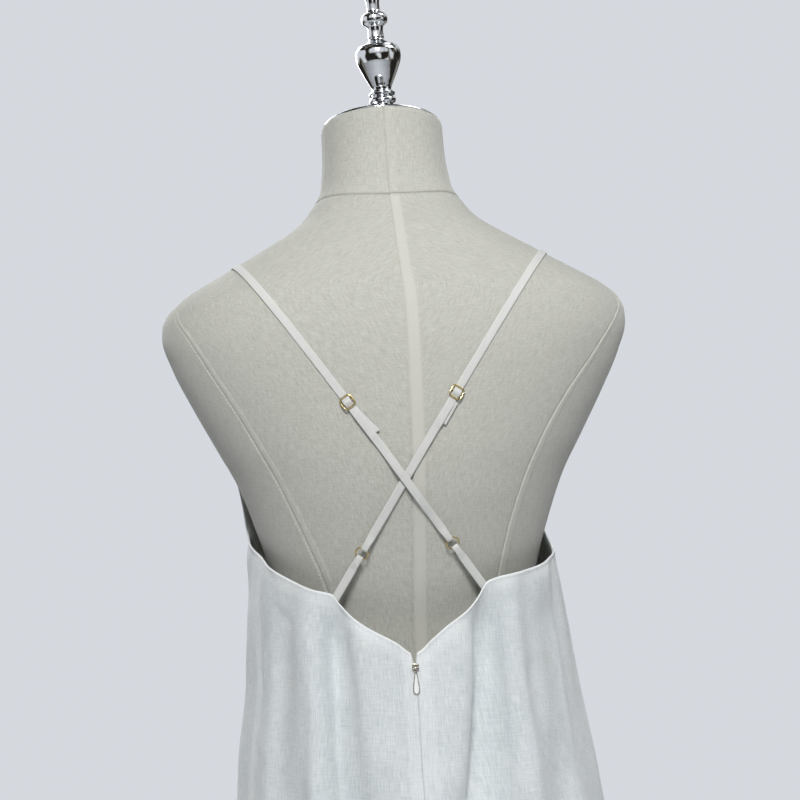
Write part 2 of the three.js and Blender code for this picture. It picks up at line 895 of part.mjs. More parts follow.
// The zip's two tapes and the closed coil between them, as one strip behind the cloth. It is
// made from the cloth's own points, moved in, and its middle is thicker where the coil runs.
function zipTapeGeometry() {
  const across = [11, 5.5, 1.7, 1.5, -1.5, -1.7, -5.5, -11];
  const topHeight = 1012.5;
  const rowCount = 16;
  const heightAt = (row) => topHeight - (zipLength * row) / (rowCount - 1);
  const angleAt = (col, height) =>
    seamAngle +
    Math.sign(across[col]) * angleAcross(Math.abs(across[col]), height);
  const face = (depthOf) => (row, col) => {
    const height = heightAt(row);
    return clothLayer(angleAt(col, height), height, depthOf(across[col]));
  };
  const front = clothThickness + 0.8;
  return wall(
    rowCount,
    across.length,
    face(() => front),
    face((distance) => front + (Math.abs(distance) < 1.6 ? 2.2 : 1.0)),
  );
}

// The plate on the neck's sloping top and the turned finial above it.
const plateSlope = Math.atan2(12, 47);
const plateCentre = new THREE.Vector3(0, -47.75, 1454);
function neckPlateGeometry() {
  const shape = table(
    "step share lift",
    [0, 0.93, 0.3],
    [1, 0.97, 1.3],
    [2, 0.97, 2.6],
    [3, 0.9, 4.0],
    [4, 0.6, 6.6],
    [5, 0.3, 7.8],
  );
  const around = 32;
  const rings = shape.rows.map(({ share, lift }) =>
    Array.from({ length: around }, (_, k) => {
      const [x, y] = oval((-360 * k) / around, 50.8, 48.7, -48.7, 2.1);
      return new THREE.Vector3(x * share, y * share, lift);
    }),
  );
  return loft(
    rings,
    new THREE.Vector3(0, 0, 0.3),
    new THREE.Vector3(0, 0, 8),
  );
}

// Half widths and heights above the foot of the turned finial.
const finialProfile = [
  [0, 0],
  [9, 0],
  [9.5, 4],
  [8.5, 9],
  [8.5, 13],
  [11, 14.5],
  [11, 17],
  [8.2, 18.5],
  [11.2, 20],
  [9.5, 22],
  [8, 24.5],
  [9, 27],
  [13, 34],
  [17.5, 45],
  [19.3, 54],
  [19.3, 58],
  [16, 61],
  [11, 62.5],
  [7.6, 65],
  [7.4, 74],
  [7.8, 77],
  [11.2, 80],
  [11.2, 86],
  [7.4, 89],
  [6.2, 94],
  [6.4, 100],
  [8.6, 104],
  [8.6, 108],
  [5.5, 113],
  [0, 115],
];
const finialLean = degrees(3.4);
const finialFoot = new THREE.Vector3(-3.2, -49.5, 1464.6);

const lathe = (profile, segments) =>
  new THREE.LatheGeometry(
    profile.map(([x, y]) => new THREE.Vector2(x, y)),
    segments,
  ).rotateX(Math.PI / 2);

// The stand: a weighted disc with a socket in its middle, and a pole with a plate on top that
// the form rests on.
const socketHeight = 50;
const topPlateRadius = 42;
const topPlateThickness = 8;
const baseProfile = [
  [0, 0],
  [baseRadius - 2, 0],
  [baseRadius, 2],
  [baseRadius, baseThickness - 4],
  [baseRadius - 4, baseThickness],
  [44, baseThickness + 3],
  [30, baseThickness + 8],
  [28, baseThickness + socketHeight - 6],
  [24, baseThickness + socketHeight],
  [0, baseThickness + socketHeight],
];
const poleBottom = baseThickness + socketHeight + seamGap;
const poleLength = torso.rows[0].side - seamGap - poleBottom;
const poleProfile = [
  [0, 0],
  [poleRadius, 0],
  [poleRadius, poleLength - topPlateThickness - 4],
  [topPlateRadius, poleLength - topPlateThickness],
  [topPlateRadius, poleLength],
  [0, poleLength],
];

// Colours and finishes
const material = (color, roughness, metalness) =>
  new THREE.MeshStandardMaterial({ color, roughness, metalness });
const linen = material("#f1f2ee", 0.85, 0);
const strapCloth = material("#f4f2ec", 0.75, 0);
const formCover = material("#cfcdbf", 0.9, 0);
const chrome = material("#d9dcdf", 0.12, 1);
const brass = material("#c8a265", 0.3, 1);
const enamel = material("#f6f3ea", 0.35, 0.1);
const enamelledIron = material("#e8e8e6", 0.4, 0.2);

const dress = new THREE.Group();
function add(name, geometry, finish, parent = dress) {
  const mesh = new THREE.Mesh(geometry, finish);
  mesh.name = name;
  parent.add(mesh);
  return mesh;
}

// The stand and the form
add("base", lathe(baseProfile, 40), enamelledIron);
add("pole", lathe(poleProfile, 24), chrome).position.z = poleBottom;
add("form_body", formBody(torso, 30, 36, 0), formCover);
add("form_neck", formBody(neck, 6, 36, seamGap), formCover);
const neckPlate = add("neck_plate", neckPlateGeometry(), chrome);
neckPlate.position.copy(plateCentre);
neckPlate.rotation.x = plateSlope;
neckPlate.position.z += seamGap;
const finial = add("finial", lathe(finialProfile, 18), chrome);
finial.position.copy(finialFoot);
finial.rotation.y = finialLean;

// The dress
add("front_panel", frontPiece(), linen);
add("back_panel_left", backLeftPiece(), linen);
add("back_panel_right", backRightPiece(), linen);

// The straps with their sliders and rings
for (const [side, route] of Object.entries(strapRoutes)) {
  const frame = strapFrame(route);
  add(`strap_${side}`, longStrap(frame), strapCloth);
  add(`tab_${side}`, shortStrap(frame), strapCloth);
  add(`ring_${side}`, strapRing(frame), brass);
  add(`slider_${side}`, strapSlider(frame), brass);
}

// The zip
const zip = new THREE.Group();
zip.position.copy(hingePoint);
zip.rotation.x = clothLean;
dress.add(zip);
add("zip_slider", zipSliderGeometry(), brass, zip);
const zipPull = add("zip_pull", zipPullGeometry(), enamel, zip);
zipPull.position.y = hingeOut;
zipPull.rotation.x = pullRest;
add("zip_tape", zipTapeGeometry(), linen);

export default dress;
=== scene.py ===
# %% [markdown]
# # A camisole dress on a dress form
#
# The object is a white linen camisole dress. Two thin straps cross on the bare back, an invisible
# zip closes the centre back, and the skirt flares from under the arms to the hem. It hangs on a
# limbless dress form covered in natural linen, with a chrome plate and finial on its neck.
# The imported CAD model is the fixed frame: it holds every place and size, and this script adds the
# looks around it. Lengths are in millimetres until a mesh is made, and angles round the body are
# in degrees: 0 at the centre back, 90 at the wearer's left side and 180 at the centre front.

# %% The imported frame
import math

import bpy
import numpy as np
from mathutils import Matrix, Vector


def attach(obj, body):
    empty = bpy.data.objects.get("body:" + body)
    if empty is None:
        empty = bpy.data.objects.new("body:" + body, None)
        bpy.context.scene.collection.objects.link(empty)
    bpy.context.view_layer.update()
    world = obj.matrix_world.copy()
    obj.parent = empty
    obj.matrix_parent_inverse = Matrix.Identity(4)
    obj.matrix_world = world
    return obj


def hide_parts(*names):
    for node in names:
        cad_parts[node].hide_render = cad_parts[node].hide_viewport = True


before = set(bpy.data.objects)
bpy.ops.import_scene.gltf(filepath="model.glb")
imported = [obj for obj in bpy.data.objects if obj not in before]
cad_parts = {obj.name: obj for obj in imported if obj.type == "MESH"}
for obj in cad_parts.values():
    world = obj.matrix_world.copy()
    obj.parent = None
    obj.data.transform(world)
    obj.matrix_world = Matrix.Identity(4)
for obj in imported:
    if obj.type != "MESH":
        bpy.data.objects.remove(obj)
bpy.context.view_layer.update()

MM = 0.001

# %% [markdown]
# ## Camera
#
# The photograph was taken from behind at chest height, a little to the wearer's left, with the
# camera tipped slightly on its side. A camera's matrix holds three directions as columns: its
# right, its up and its back. They are worked out from the angle round the dress and the tip, which
# is easier to correct against the photograph than three Euler angles.

# %% The camera at the photograph's angle
CAMERA_PLACE = Vector((0.1209, 1.3947, 1.225))
CAMERA_ROUND = math.radians(5.0)
CAMERA_TIP = math.radians(2.6)
CAMERA_LENS = 76.8  # mm on a 36 mm wide sensor

back = Vector((math.sin(CAMERA_ROUND), math.cos(CAMERA_ROUND), 0))
level_right = Vector((-math.cos(CAMERA_ROUND), math.sin(CAMERA_ROUND), 0))
right = level_right * math.cos(CAMERA_TIP) - Vector((0, 0, 1)) * math.sin(CAMERA_TIP)
up = Vector((0, 0, 1)) * math.cos(CAMERA_TIP) + level_right * math.sin(CAMERA_TIP)

camera_data = bpy.data.cameras.new("photo_camera")
camera_data.lens = CAMERA_LENS
camera_data.sensor_width = 36
camera = bpy.data.objects.new("photo_camera", camera_data)
camera.matrix_world = Matrix.Translation(CAMERA_PLACE) @ Matrix((right, up, back)).transposed().to_4x4()
bpy.context.scene.collection.objects.link(camera)
bpy.context.scene.camera = camera
print("camera", camera_data.lens, "mm, at", tuple(round(v, 3) for v in CAMERA_PLACE))

# %% [markdown]
# ## Nodes
#
# Every finish below is a small network of shader nodes. One helper adds a node with its settings,
# and fills each input with a value or with a link, so that a network reads like a formula.

# %% A node, a colour and a plain material
def node(tree, kind, inputs=None, **settings):
    """One node of a kind: settings by name, and inputs by name or number, each a value or a link."""
    made = tree.nodes.new("ShaderNode" + kind)
    for key, value in settings.items():
        setattr(made, key, value)
    for key, value in (inputs or {}).items():
        if isinstance(value, bpy.types.NodeSocket):
            tree.links.new(value, made.inputs[key])
        else:
            made.inputs[key].default_value = value
    return made


def colour(code):
    """Linear RGBA of an sRGB hex code: each share is ((c + 0.055) / 1.055) to the power of 2.4."""
    parts = [int(code[i : i + 2], 16) / 255 for i in (1, 3, 5)]
    linear = [c / 12.92 if c <= 0.04045 else ((c + 0.055) / 1.055) ** 2.4 for c in parts]
    return (*linear, 1.0)


def material(name, code, **sockets):
    """A material with one Principled shader; a socket's name is given with _ for its spaces."""
    made = bpy.data.materials.new(name)
    made.use_nodes = True
    made.diffuse_color = colour(code)
    shader = made.node_tree.nodes["Principled BSDF"]
    shader.inputs["Base Color"].default_value = colour(code)
    for key, value in sockets.items():
        shader.inputs[key.replace("_", " ")].default_value = value
    return made, made.node_tree, shader


# %% [markdown]
# ## Light and floor
#
# The photograph has soft light from above the camera: what faces the camera is bright, and what
# turns away falls off. One strong softbox stands high behind the camera, a little to the wearer's
# left. A weak one fills from high on the wearer's right, and a third lights the front, which the
# photograph doesn't show. A faint pale world lifts the shadows, and the camera sees a plain
# backdrop behind everything.
# Polished metal shows whatever stands round it, so glossy rays see a studio with a dark end and
# bright windows, which is what gives chrome its black and white bands. The floor is a plain disc,
# made further down once its paint is there.

# %% World and lights
WORLD_FILL, BACKDROP_LEVEL, REFLECTION_LEVEL = 0.14, 0.86, 0.9
bpy.context.scene.view_settings.view_transform = "Standard"
world = bpy.data.worlds.new("studio")
bpy.context.scene.world = world
world.use_nodes = True
sky = world.node_tree
direction = node(sky, "TexCoord").outputs["Generated"]
room = node(sky, "TexNoise", {"Vector": direction, "Scale": 1.7, "Detail": 1.0, "Roughness": 0.4})
bands = node(sky, "ValToRGB", {"Fac": room.outputs["Fac"]})
bands.color_ramp.elements[0].position = 0.43
bands.color_ramp.elements[0].color = colour("#2b2825")
bands.color_ramp.elements[1].position = 0.57
bands.color_ramp.elements[1].color = colour("#eef1f5")
bands.color_ramp.elements.new(0.49).color = colour("#8b867c")
backdrop = node(sky, "Background", {"Color": colour("#e4e8ee"), "Strength": BACKDROP_LEVEL})
fill = node(sky, "Background", {"Color": colour("#eef1f5"), "Strength": WORLD_FILL})
reflected = {"Color": bands.outputs["Color"], "Strength": REFLECTION_LEVEL}
glossy = node(sky, "Background", reflected)
path = node(sky, "LightPath")
seen = {0: path.outputs["Is Camera Ray"], 1: fill.outputs[0], 2: backdrop.outputs[0]}
plain = node(sky, "MixShader", seen)
mirrored = {0: path.outputs["Is Glossy Ray"], 1: plain.outputs[0], 2: glossy.outputs[0]}
both = node(sky, "MixShader", mirrored)
sky.links.new(both.outputs[0], sky.nodes["World Output"].inputs["Surface"])


def softbox(name, place, target, size, power):
    """A square area light at a place, turned to face a target."""
    data = bpy.data.lights.new(name, "AREA")
    data.shape = "SQUARE"
    data.size = size
    data.energy = power
    light = bpy.data.objects.new(name, data)
    light.location = place
    aim = Vector(target) - Vector(place)
    light.rotation_euler = aim.to_track_quat("-Z", "Y").to_euler()
    bpy.context.scene.collection.objects.link(light)


softbox("softbox_key", (0.22, 2.2, 2.8), (0, 0, 1.15), size=0.7, power=66)
softbox("softbox_fill", (-1.5, 0.3, 3.1), (0, 0, 1.3), size=1.2, power=12)
softbox("softbox_front", (0.8, -2.4, 2.3), (0, 0, 1.0), size=1.6, power=42)


# %% [markdown]
# ## Curves, tables and meshes
#
# A shape is a function on a grid. Its sizes come from short tables, and a smooth curve runs
# through each column. The curve is a cubic that turns level wherever the values turn back, so it
# never swings past them, as a plain spline would. A closed wall is two grids joined round their
# rims, and a tube is a row of rings with a middle point at each end.

# %% Curves, tables and meshes
def ease(t):
    """A smooth step: 0 below 0, 1 above 1, and 3t2 - 2t3 between."""
    u = np.clip(t, 0, 1)
    return u * u * (3 - 2 * u)


def bell(x, centre, width):
    """A bell curve round a centre: e to the power of -((x - centre) / width) squared."""
    return np.exp(-(((x - centre) / width) ** 2))


def turns(count):
    """Angles in radians, a number of even steps round a circle."""
    return np.arange(count) * 2 * np.pi / count


def smooth_curve(keys, values):
    """A cubic through points; a slope is the harmonic mean of its two chords, or 0 at a turn."""
    keys, values = np.asarray(keys, float), np.asarray(values, float)
    chords = np.diff(values) / np.diff(keys)
    before = np.concatenate([chords[:1], chords])
    after = np.concatenate([chords, chords[-1:]])
    same_way = before * after > 0
    slopes = np.where(same_way, 2 * before * after / np.where(same_way, before + after, 1), 0)

    def value(key):
        at = np.clip(key, keys[0], keys[-1])
        i = np.clip(np.searchsorted(keys, at) - 1, 0, len(keys) - 2)
        step = keys[i + 1] - keys[i]
        t = (at - keys[i]) / step
        start = (1 + 2 * t) * (1 - t) ** 2 * values[i] + t * (1 - t) ** 2 * step * slopes[i]
        end = t * t * (3 - 2 * t) * values[i + 1] + t * t * (t - 1) * step * slopes[i + 1]
        return start + end

    return value


def table(heading, *rows):
    """The named columns of a table, each a smooth curve of its first column."""
    data = np.array(rows, float)
    columns = heading.split()
    return {name: smooth_curve(data[:, 0], data[:, i]) for i, name in enumerate(columns) if i}


def grid_faces(rows, cols, round_cols=False):
    """The squares of a grid: a point, the one below, the one below and across, the one across."""
    r = np.arange(rows - 1)[:, None]
    c = np.arange(cols if round_cols else cols - 1)[None, :]
    across = (c + 1) % cols
    corners = [r * cols + c, (r + 1) * cols + c, (r + 1) * cols + across, r * cols + across]
    return np.stack(np.broadcast_arrays(*corners), -1).reshape(-1, 4)


def wall(outer, inner):
    """A closed wall: an outer grid, an inner grid turned over, and squares round their rims."""
    rows, cols = outer.shape[:2]
    count = rows * cols
    numbers = np.arange(count).reshape(rows, cols)
    rim = np.concatenate([numbers[0], numbers[1:, -1], numbers[-1, -2::-1], numbers[-2:0:-1, 0]])
    following = np.roll(rim, -1)
    edge = np.stack([rim, following, following + count, rim + count], -1)
    faces = grid_faces(rows, cols)
    points = np.concatenate([outer.reshape(-1, 3), inner.reshape(-1, 3)])
    return points, [faces, faces[:, ::-1] + count, edge]


def tube(rings):
    """A closed tube: rings joined in turn, and a fan from a middle point over each end."""
    rows, cols = rings.shape[:2]
    middles = rings[[0, -1]].mean(axis=1)
    points = np.concatenate([rings.reshape(-1, 3), middles])
    at = np.arange(cols)
    after = (at + 1) % cols
    last = (rows - 1) * cols
    start = np.stack([after, at, np.full(cols, rows * cols)], -1)
    end = np.stack([last + at, last + after, np.full(cols, rows * cols + 1)], -1)
    return points, [grid_faces(rows, cols, round_cols=True), start[:, ::-1], end[:, ::-1]]


def loop(rings):
    """A ring-shaped tube: rings joined in turn, the last to the first."""
    rows, cols = rings.shape[:2]
    again = np.concatenate([rings, rings[:1]])
    return rings.reshape(-1, 3), [grid_faces(len(again), cols, round_cols=True) % (rows * cols)]


def joined(*solids):
    """Several sets of points and faces as one."""
    starts = np.cumsum([0] + [len(points) for points, _ in solids])
    faces = [face + start for (_, groups), start in zip(solids, starts) for face in groups]
    return np.concatenate([points for points, _ in solids]), faces


def grid_normals(points):
    """The way out of a grid: the product of its steps across and down, made one long."""
    out = np.cross(np.gradient(points, axis=1), np.gradient(points, axis=0))
    return out / np.linalg.norm(out, axis=-1, keepdims=True)


def volume(points, faces):
    """Six times the volume inside: the sum of a . (b x c) over each face's triangles."""
    total = 0.0
    for group in faces:
        for k in range(1, group.shape[1] - 1):
            a, b, c = points[group[:, 0]], points[group[:, k]], points[group[:, k + 1]]
            total += np.einsum("ij,ij->", a, np.cross(b, c))
    return total


def add_piece(name, solid, finish, uv=None, body="dress", replaces=(), doubled_and_highlight=None):
    """A smooth piece from points in mm and groups of faces, on a body. Its UV in mm is given by
    point, or as a list by the corners of each group, and the last argument is 1 where cloth lies
    twice and where a highlight is painted."""
    points, faces = solid
    points = np.asarray(points, float) * MM
    by_corner = uv if uv is None or isinstance(uv, list) else [uv[group] for group in faces]
    if volume(points, faces) < 0:
        faces = [group[:, ::-1] for group in faces]
        by_corner = by_corner and [group[:, ::-1] for group in by_corner]
    corners = [face for group in faces for face in group.tolist()]
    mesh = bpy.data.meshes.new(name)
    mesh.from_pydata(points.tolist(), [], corners)
    if by_corner:
        flat = np.concatenate([group.reshape(-1, 2) for group in by_corner]) * MM
        mesh.uv_layers.new(name="UVMap").data.foreach_set("uv", flat.astype(np.float32).ravel())
    if doubled_and_highlight is not None:
        shares = np.zeros(len(points), np.float32)
        shares[: doubled_and_highlight.size] = doubled_and_highlight.ravel()
        mesh.attributes.new("doubled_and_highlight", "FLOAT", "POINT").data.foreach_set("value", shares)
    mesh.shade_smooth()
    mesh.materials.append(finish)
    piece = bpy.data.objects.new(name, mesh)
    bpy.context.scene.collection.objects.link(piece)
    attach(piece, body)
    if replaces:
        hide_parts(*replaces)
    triangles = sum(len(group) * (group.shape[1] - 2) for group in faces)
    print(f"{name}: {triangles} triangles")
    return piece


# %% [markdown]
# ## Linen
#
# Linen is a plain weave of flax yarn. The yarn is uneven, so thick and thin lengths called slubs
# run along both directions, and the cloth looks faintly checked and cloudy rather than flat. It
# could be an image, but a procedural pattern stays sharp at any distance. The surface is matt,
# with a little sheen from loose fibres at grazing angles. The dress is bleached, and the form's
# cover is left its natural colour with darker flecks of flax in it.
# The real yarns are 0.4 mm apart, finer than a pixel, so the weave is drawn at 0.9 mm.

# %% Woven finishes
SLUB_WIDTH, SLUB_THICK = 1.0, 1.2  # mm across a slub of the warp, and of the weft
CLOUD_SIZE, FLECK_SIZE = 38, 1.6  # mm
YARN_RELIEF = 0.35  # mm
SCATTER_DEPTH = 3  # mm that light travels inside the cloth


def scaled(tree, value, by, plus):
    """The math node of value times by, plus a third value."""
    return node(tree, "Math", {0: value, 1: by, 2: plus}, operation="MULTIPLY_ADD").outputs[0]


def mixed(tree, share, first, second):
    """The mix node of two colours by a share."""
    return node(tree, "Mix", {0: share, 6: first, 7: second}, data_type="RGBA").outputs[2]


def woven(
    name, dark, light, thread, slub, cloud, bump, long=24, fleck=0.0, doubled_and_highlight=None, through=0.0
):
    """Plain weave on the UV map. Brightness is the sum of slubs along the warp, slubs along the
    weft and a slow cloud, and the bump adds the waves of both sets of threads. Where the piece's
    attribute is 1, it takes the colour given for cloth lying twice, which on raised bands and
    rolled edges is a painted highlight. The share through is how much of the light scatters
    inside the thin cloth and comes out on its other side."""
    made, tree, shader = material(name, light, Roughness=0.9, Sheen_Weight=0.35)
    shader.inputs["Sheen Roughness"].default_value = 0.5
    shader.inputs["Specular IOR Level"].default_value = 0.3
    shader.inputs["Subsurface Weight"].default_value = through
    shader.inputs["Subsurface Scale"].default_value = SCATTER_DEPTH * MM
    shader.inputs["Subsurface Radius"].default_value = (1.0, 0.9, 0.75)
    uv = node(tree, "TexCoord").outputs["UV"]
    slubs = []
    for across, along in ((SLUB_WIDTH, long), (long, SLUB_THICK)):
        scale = (1 / (across * MM), 1 / (along * MM), 1)
        mapped = node(tree, "Mapping", {"Vector": uv, "Scale": scale})
        noise = node(tree, "TexNoise", {"Vector": mapped.outputs[0], "Scale": 1.0, "Detail": 2.0})
        slubs.append(noise.outputs["Fac"])
    cloudy = {"Vector": uv, "Scale": 1 / (CLOUD_SIZE * MM), "Detail": 6.0, "Roughness": 0.64}
    clouds = node(tree, "TexNoise", cloudy).outputs["Fac"]
    warp = scaled(tree, slubs[0], 1.25, -0.125)
    both = scaled(tree, slubs[1], 0.75, warp)
    share = scaled(tree, both, slub, 0.5 - slub)
    tone = scaled(tree, clouds, cloud, share)
    level = node(tree, "Math", {0: tone, 1: cloud / 2}, operation="SUBTRACT")
    ramp = node(tree, "ValToRGB", {"Fac": level.outputs[0]})
    ramp.color_ramp.elements[0].color = colour(dark)
    ramp.color_ramp.elements[1].color = colour(light)
    base = ramp.outputs["Color"]
    if fleck:
        spotted = {"Vector": uv, "Scale": 1 / (FLECK_SIZE * MM), "Detail": 2.0}
        spots = node(tree, "TexNoise", spotted).outputs["Fac"]
        rare = {"Value": spots, "From Min": 0.62, "From Max": 0.75, "To Max": fleck}
        base = mixed(tree, node(tree, "MapRange", rare).outputs[0], base, colour("#9b927c"))
    if doubled_and_highlight:
        twice_and_highlit = node(tree, "Attribute", attribute_name="doubled_and_highlight").outputs["Fac"]
        base = mixed(tree, twice_and_highlit, base, colour(doubled_and_highlight))
    tree.links.new(base, shader.inputs["Base Color"])
    waves = []
    for axis in "XY":
        spaced = {"Vector": uv, "Scale": math.pi / (10 * thread * MM), "Distortion": 0.6}
        waves.append(node(tree, "TexWave", spaced, bands_direction=axis).outputs["Fac"])
    crossing = node(tree, "Math", {0: waves[0], 1: waves[1]}, operation="ADD").outputs[0]
    height = scaled(tree, crossing, 0.35, both)
    raised = {"Height": height, "Strength": bump, "Distance": YARN_RELIEF * MM}
    tree.links.new(node(tree, "Bump", raised).outputs[0], shader.inputs["Normal"])
    return made


# Bleached linen, pressed: matt white with slubs and a cloudy face, thin enough for light to pass.
white_linen = woven(
    "bleached_linen",
    "#bcc5c7",
    "#f7f9f9",
    thread=0.9,
    slub=0.7,
    cloud=0.42,
    bump=0.5,
    long=12,
    # This colour is for cloth lying twice, and along the rolled top edge it is a painted highlight.
    doubled_and_highlight="#f6f8f8",
    through=0.3,
)
# The same linen cut on the bias and turned into straps, so its weave looks tighter and smoother.
strap_linen = woven(
    "turned_linen_strap", "#c6c7c4", "#e2e2de", thread=0.7, slub=0.4, cloud=0.1, bump=0.35
)
# Natural linen stretched on the form: greyish beige with flax flecks and a tight even weave.
cover_linen = woven(
    "natural_linen_cover",
    "#a9a9a0",
    "#d3d3cb",
    thread=0.9,
    slub=0.8,
    cloud=0.2,
    bump=0.4,
    long=7,
    fleck=0.45,
    # On the cover this colour is a painted highlight on the raised bands beside the seams.
    doubled_and_highlight="#c8c7bf",
)
# Polyester sewing thread: smooth, with a faint gloss.
white_thread, _, _ = material("white_sewing_thread", "#f4f3ee", Roughness=0.55, Sheen_Weight=0.2)
cover_thread, _, _ = material("natural_sewing_thread", "#dedcd0", Roughness=0.6, Sheen_Weight=0.2)

# %% [markdown]
# ## Metal and enamel
#
# The plate, finial and pole are chrome-plated: almost a mirror, faintly blue, with fine wiping
# marks that show only as a small change in roughness. The strap fittings are plated a pale gold,
# and the zip's metal a duller one. The pull has a white enamel filling, and the base is painted.

# %% Metal and enamel finishes
def worn(made, tree, shader, low, high, size):
    """Roughness between two values by noise of a size in mm on Object coordinates."""
    place = node(tree, "TexCoord").outputs["Object"]
    noise = node(tree, "TexNoise", {"Vector": place, "Scale": 1 / (size * MM), "Detail": 4.0})
    limits = {"From Min": 0.3, "From Max": 0.7, "To Min": low, "To Max": high}
    spread = node(tree, "MapRange", {"Value": noise.outputs["Fac"], **limits})
    tree.links.new(spread.outputs[0], shader.inputs["Roughness"])
    return made


# Bright chrome plating, wiped clean.
chrome = worn(*material("chrome_plate", "#dfe2e6", Metallic=1.0), low=0.03, high=0.09, size=14)
# The zip's thin plating, between nickel and gold, rubbed dull.
zip_metal = worn(*material("nickel_gold_plating", "#b9b4a8", Metallic=1.0), low=0.2, high=0.34, size=3)
# Pale gold plating on the rings and sliders of the straps.
pale_gold = worn(*material("pale_gold_plating", "#cdb984", Metallic=1.0), low=0.14, high=0.26, size=3)
# Hard white enamel, with a clear gloss over it.
enamel = worn(*material("white_enamel", "#f0f2f1", Coat_Weight=0.6), low=0.22, high=0.32, size=4)
# The iron base's satin white paint.
painted_iron = worn(*material("painted_iron", "#e4e5e4", Coat_Weight=0.2), low=0.35, high=0.5, size=20)
# Nylon monofilament of the zip's coil.
nylon = worn(*material("white_nylon_coil", "#eceae2", IOR=1.53), low=0.35, high=0.45, size=2)
# Matt pale paint of the studio floor.
floor_paint = worn(*material("matt_studio_floor", "#e9ebee"), low=0.8, high=0.9, size=200)

# %% The floor
FLOOR_RADIUS, FLOOR_DROP = 3.2, 0.0005  # metres; the drop keeps it clear of the base's underside
FLOOR_CORNERS = 96

floor_mesh = bpy.data.meshes.new("studio_floor")
around = np.linspace(0, 2 * np.pi, FLOOR_CORNERS, endpoint=False)
floor_x, floor_y = FLOOR_RADIUS * np.cos(around), FLOOR_RADIUS * np.sin(around)
disc = np.stack([floor_x, floor_y, np.full(FLOOR_CORNERS, -FLOOR_DROP)], -1)
floor_mesh.from_pydata(disc.tolist(), [], [list(range(FLOOR_CORNERS))])
floor_mesh.materials.append(floor_paint)
floor = bpy.data.objects.new("studio_floor", floor_mesh)
bpy.context.scene.collection.objects.link(floor)
print("floor: a disc", 2 * FLOOR_RADIUS, "metres wide")

# %% [markdown]
# ## The form's cover
#
# A dress form is a shaped shell with a cover of linen sewn from long panels. Princess seams run
# from the shoulders over the shoulder blades and the bust, and others lie at the centre back, the
# centre front and the sides. Each seam pulls the cover in a little, and the turnings behind it
# show as a low band beside it, whose colour is made lighter as a painted highlight. The columns
# of the grid run along the seams and crowd near them, so one mesh holds both the large form and
# a groove one millimetre wide.
# The form is an oval at each ring: half its width and its two depths are read from a table.

# %% The form's shape
# Each row: the ring's height at its sides, its heights at the back and at the front, half its
# width, where its back and its front lie along Y, its oval's power and how far the bust swells.
TORSO = table(
    "ring back front width y_back y_front power bust",
    [720, 720, 720, 134, 80, -90, 2.2, 0],
    [760, 760, 760, 142, 91, -97, 2.2, 0],
    [810, 810, 810, 145, 96, -100, 2.2, 0],
    [870, 870, 870, 136, 85, -100, 2.2, 0],
    [930, 930, 930, 118, 65, -97, 2.2, 0],
    [1000, 1000, 1000, 101, 53, -97, 2.2, 0],
    [1045, 1045, 1045, 102, 58, -104, 2.2, 0],
    [1089, 1089, 1089, 111, 72, -116, 2.2, 0],
    [1126, 1126, 1126, 122, 84, -125, 2.2, 6],
    [1159, 1159, 1159, 133.6, 94, -127, 2.2, 14],
    [1192, 1192, 1192, 150.4, 99, -120, 2.2, 10],
    [1225, 1225, 1225, 167.3, 100, -110, 2.2, 3],
    [1258, 1258, 1258, 182.5, 98.5, -100, 2.2, 0],
    [1282, 1282, 1282, 189.5, 95, -94, 2.2, 0],
    [1291, 1293, 1288, 189.2, 92, -92, 2.2, 0],
    [1299, 1305, 1291, 186, 88, -90, 2.2, 0],
    [1311, 1321, 1296, 173, 80, -88, 2.15, 0],
    [1320, 1331, 1301, 157.5, 74, -87, 2.1, 0],
    [1328, 1340, 1305, 142, 68, -86.5, 2.1, 0],
    [1341, 1355, 1311, 117.7, 57, -86, 2.1, 0],
    [1356, 1370, 1319, 90, 44.5, -85, 2.1, 0],
    [1366, 1378, 1325, 76, 36, -84, 2.1, 0],
    [1383.5, 1391.6, 1336, 62, 24, -82, 2.1, 0],
)
NECK = table(
    "ring back front width y_back y_front power bust",
    [1383.5, 1391.6, 1336, 62, 24, -82, 2.1, 0],
    [1393, 1400.5, 1351, 57, 17.5, -82.5, 2.1, 0],
    [1406, 1413, 1371, 53.8, 12, -84, 2.1, 0],
    [1430, 1439, 1410, 51.3, 4.5, -89, 2.1, 0],
    [1454, 1466, 1442, 50.8, -0.5, -95, 2.1, 0],
)
TORSO_LOW, TORSO_HIGH, NECK_HIGH = 720, 1383.5, 1454
BUST_APEX, BUST_SPREAD = 75, 38
SEAM_GAP = 0.3


def signed_power(value, exponent):
    """A power that keeps the value's sign."""
    return np.sign(value) * np.abs(value) ** exponent


def oval(angle, width, y_back, y_front, power):
    """A flattened oval: half width times sine, half depth times cosine, each to 2 / power."""
    turn = np.radians(angle)
    x = width * signed_power(np.sin(turn), 2 / power)
    depth = (y_back - y_front) / 2
    y = (y_back + y_front) / 2 + depth * signed_power(np.cos(turn), 2 / power)
    return x, y


def bust_swell(x, c):
    """Two bells on either side of the front, gone at the sides."""
    return bell(np.abs(x), BUST_APEX, BUST_SPREAD) * ease(-2 * c)


def ring_rise(form, ring, c):
    """A ring dips from its back height to its front height as the cosine c of the angle does."""
    to_back = (form["back"](ring) - ring) * (c * c + c) / 2
    return to_back + (form["front"](ring) - ring) * (c * c - c) / 2


def form_point(form, ring, angle):
    """A point of the form's skin: the oval of its ring, swelled at the bust and dipped."""
    sizes = [form[name](ring) for name in ("width", "y_back", "y_front", "power")]
    x, y = oval(angle, *sizes)
    c = np.cos(np.radians(angle))
    swell = form["bust"](ring) * bust_swell(x, c)
    return np.stack([x, y - swell, ring + ring_rise(form, ring, c)], -1)


